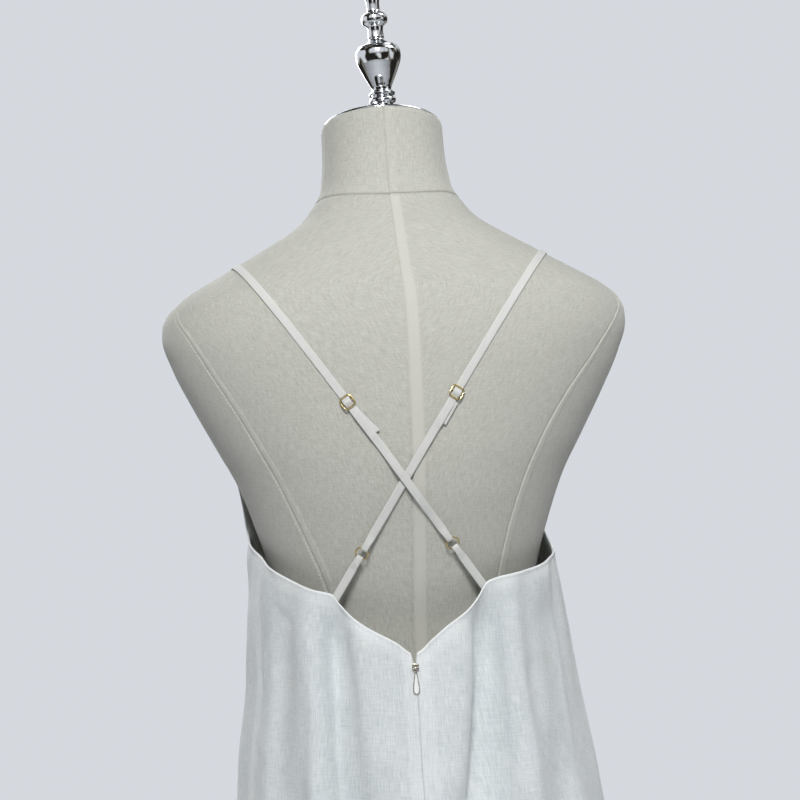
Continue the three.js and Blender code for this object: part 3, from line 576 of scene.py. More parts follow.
# %% The cover with its seams
# Where each seam lies, as its angle at twelve rings from the bottom up. The back seams run out to
# the end of the shoulder.
SEAM_RINGS = (720, 1045, 1080, 1120, 1155, 1190, 1222, 1259, 1278, 1295, 1310, 1383.5)
COVER_SEAMS = {
    "centre_front": (-180,) * 12,
    "right_front": (-146, -150, -148, -144.5, -141, -138, -135, -131, -130, -128, -126, -121),
    "right_side": (-86, -87, -88, -89, -90, -90, -90, -90, -91, -93, -96, -98),
    "right_back": (-34, -35.5, -36.5, -37.6, -39.8, -42.3, -46.7, -55.7, -61.5, -72, -80, -80),
    "centre_back": (0.3, 0.3, 0.2, 0.1, 0.1, 0, 0, 0, 0, 0, 0.2, 2),
    "left_back": (34, 34, 36.8, 42, 46.2, 49, 51.7, 56.4, 60, 69, 79, 80),
    "left_side": (86, 87, 88, 89, 90, 90, 90, 90, 91, 93, 96, 98),
    "left_front": (146, 149, 148, 144, 141, 137.5, 134.5, 131.5, 130, 128, 126, 122),
}
SEAM_DEPTH, SEAM_WIDTH = 0.8, 0.9
BAND_WIDTH, BAND_HEIGHT = 7.5, 0.4
BAND_START, BAND_END = 0.7, 1.8  # mm over which the band rises beside the seam and ends
BAND_HIGHLIGHT_SHARE = 0.3  # how strong the band's painted highlight is at the other seams, against 1 at the centre back
NECK_HIGHLIGHT_SHARE = 0.3  # the same on the whole of the neck
COVER_ROWS = 190
PANEL_COLUMNS = 30
NARROW_PANEL = 26  # mm, under which the steps beside the seams shrink
NECK_ROWS = 30
SEAM_STEPS = np.array([0, 0.35, 0.7, 1.2, 2, 3.2, 5, 6.6, 7.5, 8.4, 10])  # mm from a seam
PANEL_SPACING = 400  # mm between two panels on the UV map

seam_curves = {name: smooth_curve(SEAM_RINGS, angles) for name, angles in COVER_SEAMS.items()}


def panel_shares(width):
    """Shares across a panel of each width: at set distances from both seams and even between."""
    near = SEAM_STEPS * np.minimum(1, width / NARROW_PANEL)
    even = np.linspace(0, 1, PANEL_COLUMNS - 2 * len(SEAM_STEPS) + 3)[1:-1]
    middle = near[:, -1:] + (width - 2 * near[:, -1:]) * even
    return np.concatenate([near, middle, width - near[:, ::-1]], 1) / width


def cover_grid(form, low, high, rows, raise_by=0.0):
    """The cover as a closed grid. Between two seams the columns crowd towards both, and the skin
    dips at each seam by a bell and stands out on a band after it. Each panel is its own piece of
    cloth, so its UV runs from its own middle."""
    ring = np.linspace(low, high, rows)[:, None]
    names = list(seam_curves)
    angles, off, band_highlight, across = [], [], [], []
    for i, name in enumerate(names):
        start = seam_curves[name](ring)
        following = names[(i + 1) % len(names)]
        stop = seam_curves[following](ring)
        stop = stop + 360 * (stop < start)
        width = np.radians(stop - start) * form["width"](ring)
        shares = panel_shares(width)
        share = shares[:, :-1]
        angles.append(start + (stop - start) * share)
        off.append(np.where(share < 0.5, share * width, (share - 1) * width))
        near = [name if k < PANEL_COLUMNS / 2 else following for k in range(PANEL_COLUMNS)]
        band_highlight.append([1.0 if n == "centre_back" else BAND_HIGHLIGHT_SHARE for n in near])
        across.append((shares - 0.5) * width + i * PANEL_SPACING)
    angle, off = np.concatenate(angles, 1), np.concatenate(off, 1)
    points = form_point(form, ring, angle)
    around = np.concatenate([points[:, -1:], points, points[:, :1]], 1)
    out = grid_normals(around)[:, 1:-1] * -1
    dip = SEAM_DEPTH * bell(off, 0, SEAM_WIDTH)
    band = ease((off + BAND_WIDTH + BAND_END / 2) / BAND_END) * ease(-off / BAND_START)
    points = points + out * (BAND_HEIGHT * band - dip)[..., None]
    points[..., 2] += raise_by
    here = np.concatenate([panel[:, :-1] for panel in across], 1)
    there = np.concatenate([panel[:, 1:] for panel in across], 1)
    up = points[..., 2]
    corners = [(here[:-1], up[:-1]), (here[1:], up[1:]), (there[1:], up[1:]), (there[:-1], up[:-1])]
    uv = np.stack([np.stack(corner, -1) for corner in corners], 2).reshape(-1, 4, 2)
    ends = np.zeros((angle.shape[1], 3, 2))
    # The third value is where the band is coloured lighter, a painted highlight of its raise.
    return tube(points), [uv, ends, ends], band * np.concatenate(band_highlight)


body, body_uv, body_band_highlight = cover_grid(TORSO, TORSO_LOW, TORSO_HIGH, COVER_ROWS)
neck, neck_uv, neck_band_highlight = cover_grid(NECK, TORSO_HIGH, NECK_HIGH, NECK_ROWS, SEAM_GAP)

add_piece(
    "cover_body", body, cover_linen, body_uv, replaces=["form_body"], doubled_and_highlight=body_band_highlight
)
add_piece(
    "cover_neck",
    neck,
    cover_linen,
    neck_uv,
    replaces=["form_neck"],
    doubled_and_highlight=NECK_HIGHLIGHT_SHARE * neck_band_highlight,
)

# %% [markdown]
# ## Sewing
#
# Sewing is part of how a garment reads. A stitch is a short bead of thread half sunk in the cloth,
# and a seam has hundreds, so all the beads of a seam are made in one go: a small ring pattern is
# placed at even distances along a line, turned to follow it.

# %% Stitches along a line
def unit(vectors):
    """Vectors made one long."""
    return vectors / np.linalg.norm(vectors, axis=-1, keepdims=True)


def evenly(line, pitch, *more):
    """Places an even pitch apart on a line of points, and other values of the points there."""
    lengths = np.concatenate([[0], np.cumsum(np.linalg.norm(np.diff(line, axis=0), axis=1))])
    at = np.arange(pitch / 2, lengths[-1], pitch)
    return [np.stack([np.interp(at, lengths, v[:, k]) for k in range(3)], -1) for v in (line, *more)]


def beads(centres, along, out, length, radius, sides=6):
    """A bead at each centre: four rings of points along it, small, full, full and small."""
    side = np.cross(along, out)
    reach = np.array([-0.5, -0.3, 0.3, 0.5])[None, :, None, None] * length
    size = np.array([0.3, 1, 1, 0.3])[None, :, None, None] * radius
    turn = turns(sides)[None, None, :, None]
    spokes = np.cos(turn) * out[:, None, None] + np.sin(turn) * side[:, None, None]
    points = centres[:, None, None] + along[:, None, None] * reach + spokes * size
    starts = (np.arange(len(centres)) * 4 * sides)[:, None, None]
    cap = np.arange(sides)[None]
    groups = [grid_faces(4, sides, round_cols=True), cap[:, ::-1], cap + 3 * sides]
    return points.reshape(-1, 3), [(g[None] + starts).reshape(-1, g.shape[1]) for g in groups]


def sewn_line(line, out, pitch=3.0, length=2.3, radius=0.22):
    """Stitches along a line of points whose way out is known."""
    places, ways = evenly(line, pitch, out)
    return beads(places, unit(np.gradient(places, axis=0)), unit(ways), length, radius)


def form_normal(form, ring, angle):
    """The way out of the skin: the product of a small step round it and a small step up it."""
    round_it = form_point(form, ring, angle + 0.2) - form_point(form, ring, angle - 0.2)
    up_it = form_point(form, ring + 0.5, angle) - form_point(form, ring - 0.5, angle)
    return unit(np.cross(up_it, round_it))


# %% The stitches of the cover
STITCH_OFFSET = 2.4  # mm beside the seam
seam_rings = np.linspace(TORSO_LOW + 8, TORSO_HIGH - 6, 400)
cover_lines = []
for name in ("left_back", "right_back", "left_front", "right_front"):
    aside = np.degrees(STITCH_OFFSET / TORSO["width"](seam_rings))
    angle = seam_curves[name](seam_rings) + np.where(name.startswith("left"), 1, -1) * aside
    out = form_normal(TORSO, seam_rings, angle)
    cover_lines.append(sewn_line(form_point(TORSO, seam_rings, angle) + out * 0.1, out))
add_piece("cover_stitches", joined(*cover_lines), cover_thread)

# %% [markdown]
# ## Plate, finial and stand
#
# These are spun and turned metal, so each is a profile carried round an axis. The profile's
# corners would be sharp with straight lines, so a smooth curve runs through its radius and its
# height by distance along it. The neck is cut on a slope, which tips the plate forward, and the
# finial leans a little. The stand isn't in the photograph: it is a plain pole on a weighted base.

# %% Turned parts
def turned(profile, steps=6, segments=96):
    """Rings of a profile of radius and height, smoothed by distance along it, round Z."""
    profile = np.array(profile, float)
    lengths = np.concatenate([[0], np.cumsum(np.hypot(*np.diff(profile, axis=0).T))])
    at = np.interp(np.arange((len(profile) - 1) * steps + 1) / steps, np.arange(len(profile)), lengths)
    radius, height = (smooth_curve(lengths, profile[:, k])(at) for k in (0, 1))
    turn = turns(segments)
    x, y = radius[:, None] * np.cos(turn), radius[:, None] * np.sin(turn)
    return np.stack([x, y, np.broadcast_to(height[:, None], x.shape)], -1)


def rotated(points, axis, angle):
    """Points turned round an axis by an angle in radians."""
    return points @ np.array(Matrix.Rotation(angle, 3, axis)).T


PLATE_SLOPE = math.atan2(12, 47)
PLATE_CENTRE = np.array([0, -47.75, NECK_HIGH + SEAM_GAP])
PLATE_OVAL = 48.7 / 50.8  # the plate's depth as a share of its width, as the neck's
plate_profile = [
    (46.6, 0.3), (48.9, 0.5), (49.7, 1.4), (49.5, 2.5), (48.2, 3.1), (44.5, 4.0), (34, 6.0),
    (20, 7.3), (3, 7.9),
]
plate = turned(plate_profile) * np.array([1, PLATE_OVAL, 1])
add_piece(
    "neck_plate_chrome",
    tube(rotated(plate, "X", PLATE_SLOPE) + PLATE_CENTRE),
    chrome,
    replaces=["neck_plate"],
)

FINIAL_LEAN = math.radians(3.4)
FINIAL_FOOT = np.array([-3.2, -49.5, 1464.6])
finial_profile = [
    (8.8, 0.2), (9.5, 1.2), (9.6, 4), (8.6, 6), (8.4, 10), (8.8, 12.2), (10.9, 13.4), (11.3, 15.2),
    (10.6, 17), (8.5, 18), (8.6, 18.8), (10.9, 19.6), (11.1, 21), (9.6, 22.4), (8.2, 23.6),
    (8.3, 25), (10, 29), (13.2, 35.5), (16.4, 42.5), (18.6, 48.2), (19.3, 52.5), (19.0, 56.2),
    (17.4, 59.4), (16.6, 60.0), (16.2, 60.9), (13.2, 62.2), (10, 63.3), (8.2, 64.8), (6.4, 66.6),
    (6.2, 67.6), (6.9, 68.6), (6.7, 70), (6.4, 74), (6.8, 77.2), (8.2, 79), (10.4, 80.8),
    (11.2, 83.6), (10.8, 86.6), (8.6, 89), (6.2, 90.2), (5.6, 92), (5.5, 97), (6.3, 101.5),
    (8.3, 104.4), (8.6, 107.2), (7.4, 110.4), (5.2, 113), (1.5, 114.8),
]
finial = rotated(turned(finial_profile), "Y", FINIAL_LEAN) + FINIAL_FOOT
add_piece("finial_chrome", tube(finial), chrome, replaces=["finial"])

BASE_RADIUS, SOCKET_TOP = 175, 64
base_profile = [
    (BASE_RADIUS - 7, 0), (BASE_RADIUS - 2, 0.1), (174.4, 0.7), (BASE_RADIUS, 2.2),
    (BASE_RADIUS, 9.8), (174.2, 12.2), (171, 13.8), (166, 14.2), (110, 15.4), (52, 16.8),
    (40, 18.2), (32, 21), (29.2, 25), (28.6, 40), (28.1, 57), (27.6, 60.4), (25.8, 62.6),
    (22, 63.8), (10, SOCKET_TOP),
]
base = turned(base_profile, segments=128)
add_piece("stand_base", tube(base), painted_iron, replaces=["base"])

POLE_RADIUS, TOP_PLATE_RADIUS = 16, 42
POLE_LOW, POLE_HIGH = SOCKET_TOP + SEAM_GAP, TORSO_LOW - SEAM_GAP
pole_profile = [
    (15.2, POLE_LOW), (POLE_RADIUS, POLE_LOW + 0.8), (POLE_RADIUS, POLE_LOW + 4),
    (POLE_RADIUS, 400), (POLE_RADIUS, POLE_HIGH - 16), (17, POLE_HIGH - 12.6),
    (38, POLE_HIGH - 8.8), (41.4, POLE_HIGH - 7.6), (TOP_PLATE_RADIUS, POLE_HIGH - 6),
    (TOP_PLATE_RADIUS, POLE_HIGH - 1.2), (41.2, POLE_HIGH - 0.2), (38, POLE_HIGH),
]
add_piece("stand_pole", tube(turned(pole_profile)), chrome, replaces=["pole"])

# %% [markdown]
# ## The dress
#
# The dress is cut in three pieces: a front, and two back pieces that meet at the zip. Each is a
# thin wall on the form of its CAD solid, so the same tables are used here: an oval at each height,
# and flutes that run down from the hip to the hem. On top of those come the creases of worn linen.
# Each crease is a soft ridge or trough along a line between two places, listed one by one,
# because a simulation would fold the cloth somewhere else than the photograph does. They are
# uneven in length, depth and spacing, and the sides that the photograph doesn't show have similar
# ones.

# %% The dress's shape
# Each row: a height, where the oval's middle lies along X, half its width, where its back and
# its front lie along Y, and its power.
SKIRT = table(
    "height centre width back front power",
    [220, 0, 268, 190, -232, 2.1],
    [500, -1, 214, 151, -204, 2.15],
    [700, -2.5, 182, 128, -184, 2.2],
    [810, -3.5, 164.5, 115, -173, 2.2],
    [898, -4.3, 150, 102, -166, 2.25],
    [943, -3, 144.5, 95, -162, 2.25],
    [989, -2.7, 137.7, 89, -158, 2.25],
    [1031, -1, 134, 85, -155, 2.25],
    [1058, 0, 131, 84, -152, 2.3],
    [1085, 0, 127, 84, -148, 2.35],
    [1100, 0, 125, 85, -146, 2.4],
    [1112, 0, 123.5, 87, -144, 2.4],
    [1126, 0, 129, 91, -143, 2.45],
    [1159, 0, 140.5, 100, -141, 2.5],
    [1192, 0, 157.5, 105, -133, 2.4],
    [1225, 0, 174, 106, -118, 2.25],
    [1258, 0, 189, 105, -107, 2.2],
)
HEM_HEIGHT = 220
SEAM_ANGLE, LEFT_SIDE, RIGHT_SIDE = 1.6, 71, -80
CLOTH = 1.2  # mm, the wall's thickness
DEPTH_WEIGHT = 1.2  # how much more a flute moves the cloth along Y than along X
LAYOUT_HEIGHT = 700  # mm, the height whose width turns the angles of a cut piece into mm

# Each flute: its angle at the top, the hip and the hem, its half width in degrees, and how far it
# stands out in mm at the top, the hip and the hem.
FLUTES = {
    "centre back ridge": (2, 1, 3, 9, 0, 4, 13),
    "back left trough": (27, 19, 14, 4.5, -2.5, -6.5, -20),
    "back left ridge": (36, 31, 27, 6, 1.5, 5, 16),
    "outer left trough": (48, 45, 41, 7, 0, -2.5, -17),
    "left ridge": (60, 59, 56, 7, 1, 2, 13),
    "left seam trough": (71, 71, 70, 6, -1.5, -3, -15),
    "left side ridge": (86, 86, 84, 8, 0, 2, 15),
    "left front trough": (103, 103, 101, 8, 0, -4, -17),
    "front left ridge": (126, 123, 121, 9, 0, 4, 17),
    "front left trough": (150, 145, 142, 7, -1, -7, -20),
    "front ridge": (165, 165, 163, 8, 0, 5, 13),
    "front middle trough": (183, 184, 186, 9, 0, -5, -16),
    "front right ridge": (203, 207, 206, 8, 0, 5, 18),
    "front right trough": (224, 228, 229, 7, -1, -6, -18),
    "outer front ridge": (243, 246, 248, 8, 0, 4, 14),
    "right front trough": (263, 264, 266, 8, 0, -3, -16),
    "right side ridge": (280, 279, 280, 7, 0, 2, 14),
    "right seam trough": (296, 294, 292, 6, -1, -3.5, -16),
    "back right outer ridge": (308, 308, 307, 6, 0.5, 2.5, 13),
    "back right outer trough": (318, 318, 319, 5.5, 0, -3, -15),
    "back right ridge": (328, 331, 333, 5, 1.5, 5, 14),
    "back right trough": (336.5, 343, 349, 5, -3, -11, -21),
}
FLUTE_HEIGHTS = (220, 898, 1085)
FADE_FROM, FADE_OVER = 1085, 45


def flute_height(angle, height):
    """The sum of a bell for each flute, which fades out above the hip."""
    out = 0
    for top, hip, hem, spread, top_out, hip_out, hem_out in FLUTES.values():
        off = angle - smooth_curve(FLUTE_HEIGHTS, (hem, hip, top))(height)
        off = off - 360 * np.round(off / 360)
        stand = smooth_curve(FLUTE_HEIGHTS, (hem_out, hip_out, top_out))(height)
        out = out + stand * bell(off, 0, spread)
    return out * (1 - ease((height - FADE_FROM) / FADE_OVER))


def cloth_point(angle, height):
    """A point of the cloth's outer face: the oval at its height, moved out by the flutes."""
    sizes = [SKIRT[name](height) for name in ("width", "back", "front", "power")]
    x, y = oval(angle, *sizes)
    out = flute_height(angle, height)
    long = np.hypot(x, y * DEPTH_WEIGHT)
    centre = SKIRT["centre"](height)
    moved_x, moved_y = centre + x + out * x / long, y + out * y * DEPTH_WEIGHT / long
    return np.stack([moved_x, moved_y, height + 0 * x], -1)


def cloth_normal(angle, height):
    """The way out of the cloth: the product of a small step round it and a small step down it."""
    across = cloth_point(angle + 0.5, height) - cloth_point(angle - 0.5, height)
    down = cloth_point(angle, height - 2) - cloth_point(angle, height + 2)
    return unit(np.cross(across, down))


def angle_across(distance, height):
    """The angle that a distance in mm from the centre back makes on the oval at a height."""
    share = distance / SKIRT["width"](height)
    return np.degrees(np.arcsin(share ** (SKIRT["power"](height) / 2)))


# %% The creases
# Each crease: where it starts and ends as an angle and a height, how far its middle bows aside,
# its half width, how far it stands out (a trough's is negative), all in mm, and its crispness:
# 2 is a round ridge and 1 a pressed one. A ninth number is its half width on the side of the
# larger angles, where that differs.
CREASES = {
    "left strap point line": (27.4, 1077, 22, 880, 6, 11.0, -8.0, 1.5, 10.0),
    "left line running down": (27.4, 1076, 20.5, 800, 0, 12.0, -8.0, 1.6, 11.0),
    "left inner ridge": (22.0, 1070, 17.0, 890, 6, 20.0, 4.0, 2, 9.0),
    "left strap point ridge": (36, 1076, 34, 895, 2, 10.0, 4.0, 2, 24.0),
    "left outer step": (53, 1080, 51, 890, -1, 20.0, -4.5, 2, 14.0),
    "left turned flank": (66, 1085, 64, 890, 0, 12.0, -2.0, 2),
    "left pressed diagonal": (76, 966, 52.5, 948, 2, 2.4, 1.0, 1),
    "left pressed diagonal, low side": (75, 958, 55, 941, 2, 4.0, -0.9, 1.6),
    "left smudge": (57, 1068, 42, 1050, 2, 6.0, -1.1, 2),
    "left inner edge": (6.5, 1040, 8.2, 960, 0, 3.5, -0.9, 1.6),
    "left wrinkle": (15, 1003, 5, 993, -2, 4.0, 0.6, 2),
    "left low wrinkle": (16, 962, 6, 940, 3, 5.0, 0.8, 2),
    "left flank ridge": (64, 1040, 62, 930, 2, 6.0, 1.2, 2),
    "left flank trough": (68.5, 1020, 66, 950, -2, 4.0, -0.9, 2),
    "right strap point line": (-23.8, 1086, -7, 880, -10, 14.0, -8.5, 1.6, 13.0),
    "right line running down": (-23.0, 1080, -5.5, 790, 0, 15.0, -8.0, 1.7, 13.0),
    "right strap point ridge": (-16.0, 1056, -1, 900, -8, 10.0, 4.5, 2, 18.0),
    "right corner": (-30, 1076, -28, 892, 0, 24.0, 4.0, 2, 9.0),
    "right turned flank": (-54, 1082, -52, 890, 0, 18.0, -6.0, 2, 28.0),
    "right light line": (-28, 1064, -25, 900, 2, 2.0, 1.1, 1),
    "right second trough": (-31, 1040, -29.5, 905, 1, 4.0, -1.0, 1.6),
    "right diagonal": (-35, 1068, -51, 1014, 3, 6.0, 1.3, 2),
    "right hollow": (-38, 1018, -40, 970, 2, 11.0, -1.6, 2),
    "right cross wrinkle": (-34, 1027, -49, 1021, 2, 2.6, 0.5, 1.6),
    "right low diagonal": (-17, 942, -25, 960, 2, 4.0, 0.9, 1.6),
    "right low cross": (-38, 962, -56, 950, -3, 5.0, 0.8, 2),
    "right dimple": (-2.4, 993, -0.4, 987, 0, 3.0, -0.8, 2),
    "right flank ridge": (-60, 1050, -57, 925, -2, 6.0, 1.1, 2),
    "left line running out": (23.0, 930, 18.5, 600, 0, 16.0, -2.2, 1.8, 14.0),
    "right line running out": (-10.0, 930, -7.0, 580, 0, 18.0, -2.4, 1.8, 16.0),
    "left knee break": (28, 820, 10, 796, 5, 9.0, 1.6, 1.8),
    "left long crease": (33, 860, 30, 560, 6, 5.0, -1.6, 1.5),
    "right long crease": (-36, 880, -30, 600, -5, 4.5, -1.7, 1.5),
    "right knee break": (-12, 760, -34, 735, -6, 9.0, 1.7, 1.8),
    "low back cross": (12, 520, -8, 505, 4, 8.0, 1.4, 1.8),
    "low left crease": (48, 480, 52, 250, -4, 6.0, 1.8, 1.6),
    "low right crease": (-50, 560, -55, 280, 5, 6.0, -1.8, 1.6),
    "left side break": (98, 760, 80, 735, 5, 8.0, 1.6, 1.8),
    "right side break": (262, 830, 284, 800, -5, 8.0, 1.5, 1.8),
    "front left drag": (158, 1222, 138, 1120, 5, 6.0, 1.2, 1.7),
    "front right drag": (206, 1222, 226, 1116, -5, 6.0, 1.2, 1.7),
    "front left drop": (142, 1110, 138, 900, -4, 5.0, -1.7, 1.5),
    "front right drop": (222, 1106, 229, 880, 4, 5.0, -1.6, 1.5),
    "front middle hang": (178, 1130, 181, 930, 3, 7.0, -1.4, 2),
    "front middle cross": (192, 1000, 170, 986, 3, 6.0, 0.9, 1.8),
    "front left cross": (150, 940, 128, 918, -4, 6.0, 1.2, 1.6),
    "front right cross": (214, 900, 238, 874, 4, 6.0, 1.2, 1.6),
    "front knee break": (200, 700, 168, 668, 7, 10.0, 1.8, 1.8),
    "front low crease": (150, 620, 146, 300, -6, 6.0, -1.9, 1.6),
    "front low ridge": (214, 540, 211, 240, 5, 7.0, 1.9, 1.8),
    "armhole left pull": (112, 1160, 128, 1080, -4, 5.0, 1.2, 1.7),
    "armhole right pull": (250, 1150, 236, 1075, 4, 5.0, 1.2, 1.7),
}
CREASE_FADE = 0.22  # of a crease's length at each end
# Slow unevenness of the hanging cloth. Each ripple: how many waves go round, a wave's length up
# the cloth in mm, its phase in radians and its size in mm.
RIPPLES = ((11, 260, 0.4, 0.7), (17, 170, 1.9, 0.45), (29, 410, 3.1, 0.4), (7, 95, 5.0, 0.3))
RIPPLE_SWAY = 1.3  # radians by which a ripple sways from side to side up the cloth


def crease_height(angle, height):
    """Each crease is a bell or a pressed ridge by distance from its bowed line, faded at its
    ends, and the ripples are sines of the angle and the height."""
    out = np.zeros(np.broadcast(angle, height).shape)
    for start, top, stop, low, bow, half_width, stand, crisp, *other in CREASES.values():
        middle_angle, middle_height = (start + stop) / 2, (top + low) / 2
        per_degree = np.radians(SKIRT["width"](middle_height))
        off = angle - middle_angle
        off = (off - 360 * np.round(off / 360)) * per_degree
        run = np.array([(stop - start) * per_degree, low - top])
        length = np.hypot(*run)
        way = run / length
        up = height - middle_height
        share = (off * way[0] + up * way[1]) / length + 0.5
        aside = off * -way[1] + up * way[0] - bow * 4 * share * (1 - share)
        ends = ease(share / CREASE_FADE) * ease((1 - share) / CREASE_FADE)
        wide = np.where(aside > 0, other[0] if other else half_width, half_width)
        out += stand * ends * np.exp(-((np.abs(aside) / wide) ** crisp))
    for count, rise, phase, stand in RIPPLES:
        wave = np.radians(angle) * count + height * 2 * np.pi / rise + phase
        out += stand * np.sin(wave + RIPPLE_SWAY * np.sin(height / rise + phase))
    return out


# %% The three cut pieces
# The cut edges along the top, as angle and height.
FRONT_EDGE = (
    (71, 1104), (90, 1113), (98, 1128), (104, 1147), (110, 1167), (122, 1192), (136, 1214),
    (150, 1235), (161.5, 1247), (167, 1221), (174, 1190), (182, 1166), (190, 1190), (197, 1222),
    (202, 1247), (214, 1235), (228, 1213), (241, 1190), (252, 1165), (259, 1142), (267, 1119),
    (280, 1097),
)
BACK_LEFT_EDGE = (
    (1.6, 1030), (7, 1040), (14, 1050), (19.5, 1059), (25, 1070), (27.7, 1077), (34, 1080.5),
    (42.5, 1085.5), (56, 1094), (71, 1104),
)
BACK_RIGHT_EDGE = (
    (-80, 1097), (-59, 1090.5), (-38.8, 1086), (-30, 1084.5), (-24, 1081), (-19.7, 1070.5),
    (-14.5, 1060), (-7.5, 1049), (1.6, 1030),
)
EDGE_ROUND = 0.8  # mm, the turned edge's radius
EDGE_ROLL = 0.32  # mm, how far the turned edge's roll stands out
SIDE_GAP = 0.065  # degrees, half of the gap at a side seam
HEM_FOLD = 22  # mm, the turned hem
HEM_THICK, HEM_GROOVE = 0.5, 0.45  # mm, what the turned cloth adds, and the dip at its stitches
EDGE_FACING, SEAM_TURNING = 11, 9  # mm of cloth turned in behind the top edge and behind a seam
SEAM_THICK = 0.35  # mm, what the turnings of a seam add
COLUMN_SHIFT = 14  # mm from a piece's side within which its columns follow the side
FRONT_STEP, BACK_STEP, ROW_STEP = 4.2, 2.1, 4.3  # mm between columns and between rows
ROWS_FROM = 1040  # mm, the height from which the rows are counted out
NEAR_EDGE = np.array([0, 0.2, 0.45, 0.8, 1.3, 2, 3, 4.4, 6.2, 8.6, 11.8])
PARTING_OPEN, PARTING_CORNER = 1.1, 1.9  # mm, half the gap beside the slider, and more at the top
PARTING_LOW, PARTING_HIGH = 1007, 1018  # mm, where the parting opens and where it rounds away
# The front's armhole edge: how far it stands off the form in mm, and the middle and the half
# width of that place as angles and as heights.
GAPES = ((5, 93, 11, 1103, 26), (-4, 268, 11, 1106, 22))


def steps_between(length, step):
    """Distances from 0 to a length: close together near both ends and even in the middle."""
    middle = np.linspace(NEAR_EDGE[-1], length - NEAR_EDGE[-1], max(2, round(length / step)))
    return np.concatenate([NEAR_EDGE, middle[1:-1], length - NEAR_EDGE[::-1]])


def parting(height):
    """Half of the gap between the back pieces: closed below the zip's slider, open beside it, and
    rounded away at the top corners."""
    open_here = (PARTING_OPEN - SEAM_GAP / 2) * ease((height - PARTING_LOW) / 7)
    corner = PARTING_CORNER * np.clip((height - PARTING_HIGH) / 12, 0, 1) ** 2
    return SEAM_GAP / 2 + open_here + corner


def rounded(distance):
    """How far a face falls back at a distance from a turned edge: a quarter of a circle."""
    near = np.clip(1 - distance / EDGE_ROUND, 0, 1)
    return EDGE_ROUND * (1 - np.sqrt(1 - near**2))


def gape(angle, height):
    """How far the armhole edge stands off the form: at the wearer's left it gapes, and at the
    right the strap pulls it in. Each is a bell by angle times a bell by height."""
    return sum(
        stand * bell(angle, at, wide) * bell(height, level, tall)
        for stand, at, wide, level, tall in GAPES
    )


def panel(edge, start, stop, shift, column_step):
    """A cut piece as a wall. Columns run from start to stop, rows from its edge to the hem, and
    shift moves the columns near its two ends by height. Its faces are the cloth's points moved
    out by a sum: creases, gape, turned hem, seam turnings and rolled edge, less the hem's groove
    and the fall of its round edges. Returns the wall, its UV, where it is doubled with a painted
    highlight along its rolled top edge, and its grid."""
    edge_curve = smooth_curve(*np.array(edge, float).T)
    wide = np.radians(stop - start) * SKIRT["width"](LAYOUT_HEIGHT)
    off_side = steps_between(wide, column_step)
    base = (start + (stop - start) * off_side / wide)[None, :]
    top = edge_curve(base)
    long = ROWS_FROM - HEM_HEIGHT
    down = (steps_between(long, ROW_STEP) / long)[:, None]
    height = top + (HEM_HEIGHT - top) * down
    from_start, from_stop = off_side[None, :], (wide - off_side)[None, :]
    side, from_top = np.minimum(from_start, from_stop), top - height
    near = 1 - ease(side / COLUMN_SHIFT)
    start_shift, stop_shift = shift(height)
    angle = base + near * np.where(from_start < from_stop, start_shift, stop_shift)
    fall = rounded(from_top) + rounded(height - HEM_HEIGHT) + rounded(side) * 0.3
    hem = HEM_THICK * ease((HEM_HEIGHT + HEM_FOLD - height) / 1.2)
    groove = HEM_GROOVE * bell(height - HEM_HEIGHT - HEM_FOLD, 0, 1.4)
    seam = SEAM_THICK * ease(side / 1.6) * (1 - ease((side - SEAM_TURNING) / 4))
    roll = EDGE_ROLL * (bell(from_top, 1.2, 0.9) - 0.6 * bell(from_top, 3.6, 1.0))
    calm = ease(side / 10) * ease(from_top / 8)
    creased = crease_height(angle, height) * calm
    relief = creased + gape(angle, height) + hem * 0.5 + seam + roll - groove
    skin, out = cloth_point(angle, height), cloth_normal(angle, height)
    out_face = skin + out * (relief - fall)[..., None]
    in_face = skin + out * (relief - CLOTH - hem + fall * 0.5)[..., None]
    around = np.radians(angle) * SKIRT["width"](LAYOUT_HEIGHT)
    uv = np.stack([around, np.broadcast_to(height, around.shape)], -1).reshape(-1, 2)
    facing = 0.25 * (1 - ease((from_top - EDGE_FACING) / 2))
    # Within 1.3 mm of the top edge a further share is a painted highlight along the rolled edge.
    facing_and_edge_highlight = facing + 0.4 * (1 - ease((from_top - 1.3) / 1.0))
    hem_share = 0.3 * ease((HEM_HEIGHT + HEM_FOLD - height) / 1.5)
    folded = hem_share + 0.25 * (1 - ease((side - SEAM_TURNING) / 2))
    doubled_and_highlight = np.clip(facing_and_edge_highlight + folded, 0, 1)
    return wall(out_face, in_face), np.concatenate([uv, uv]), doubled_and_highlight, (angle, height, out_face, out)


def flat_area(grid):
    """The area of a grid in square metres: half the product of each square's diagonals."""
    first = grid[1:, 1:] - grid[:-1, :-1]
    second = grid[1:, :-1] - grid[:-1, 1:]
    return np.linalg.norm(np.cross(first, second), axis=-1).sum() / 2 * MM * MM


def no_shift(height):
    """The front's ends stand half a gap in from the side seams."""
    return SIDE_GAP + 0 * height, -SIDE_GAP + 0 * height


def left_shift(height):
    """The left back piece stands off the zip by the parting, and off its side seam by the gap."""
    return angle_across(parting(height), height), -SIDE_GAP + 0 * height


def right_shift(height):
    """The right back piece mirrors the left one."""
    return SIDE_GAP + 0 * height, -angle_across(parting(height), height)


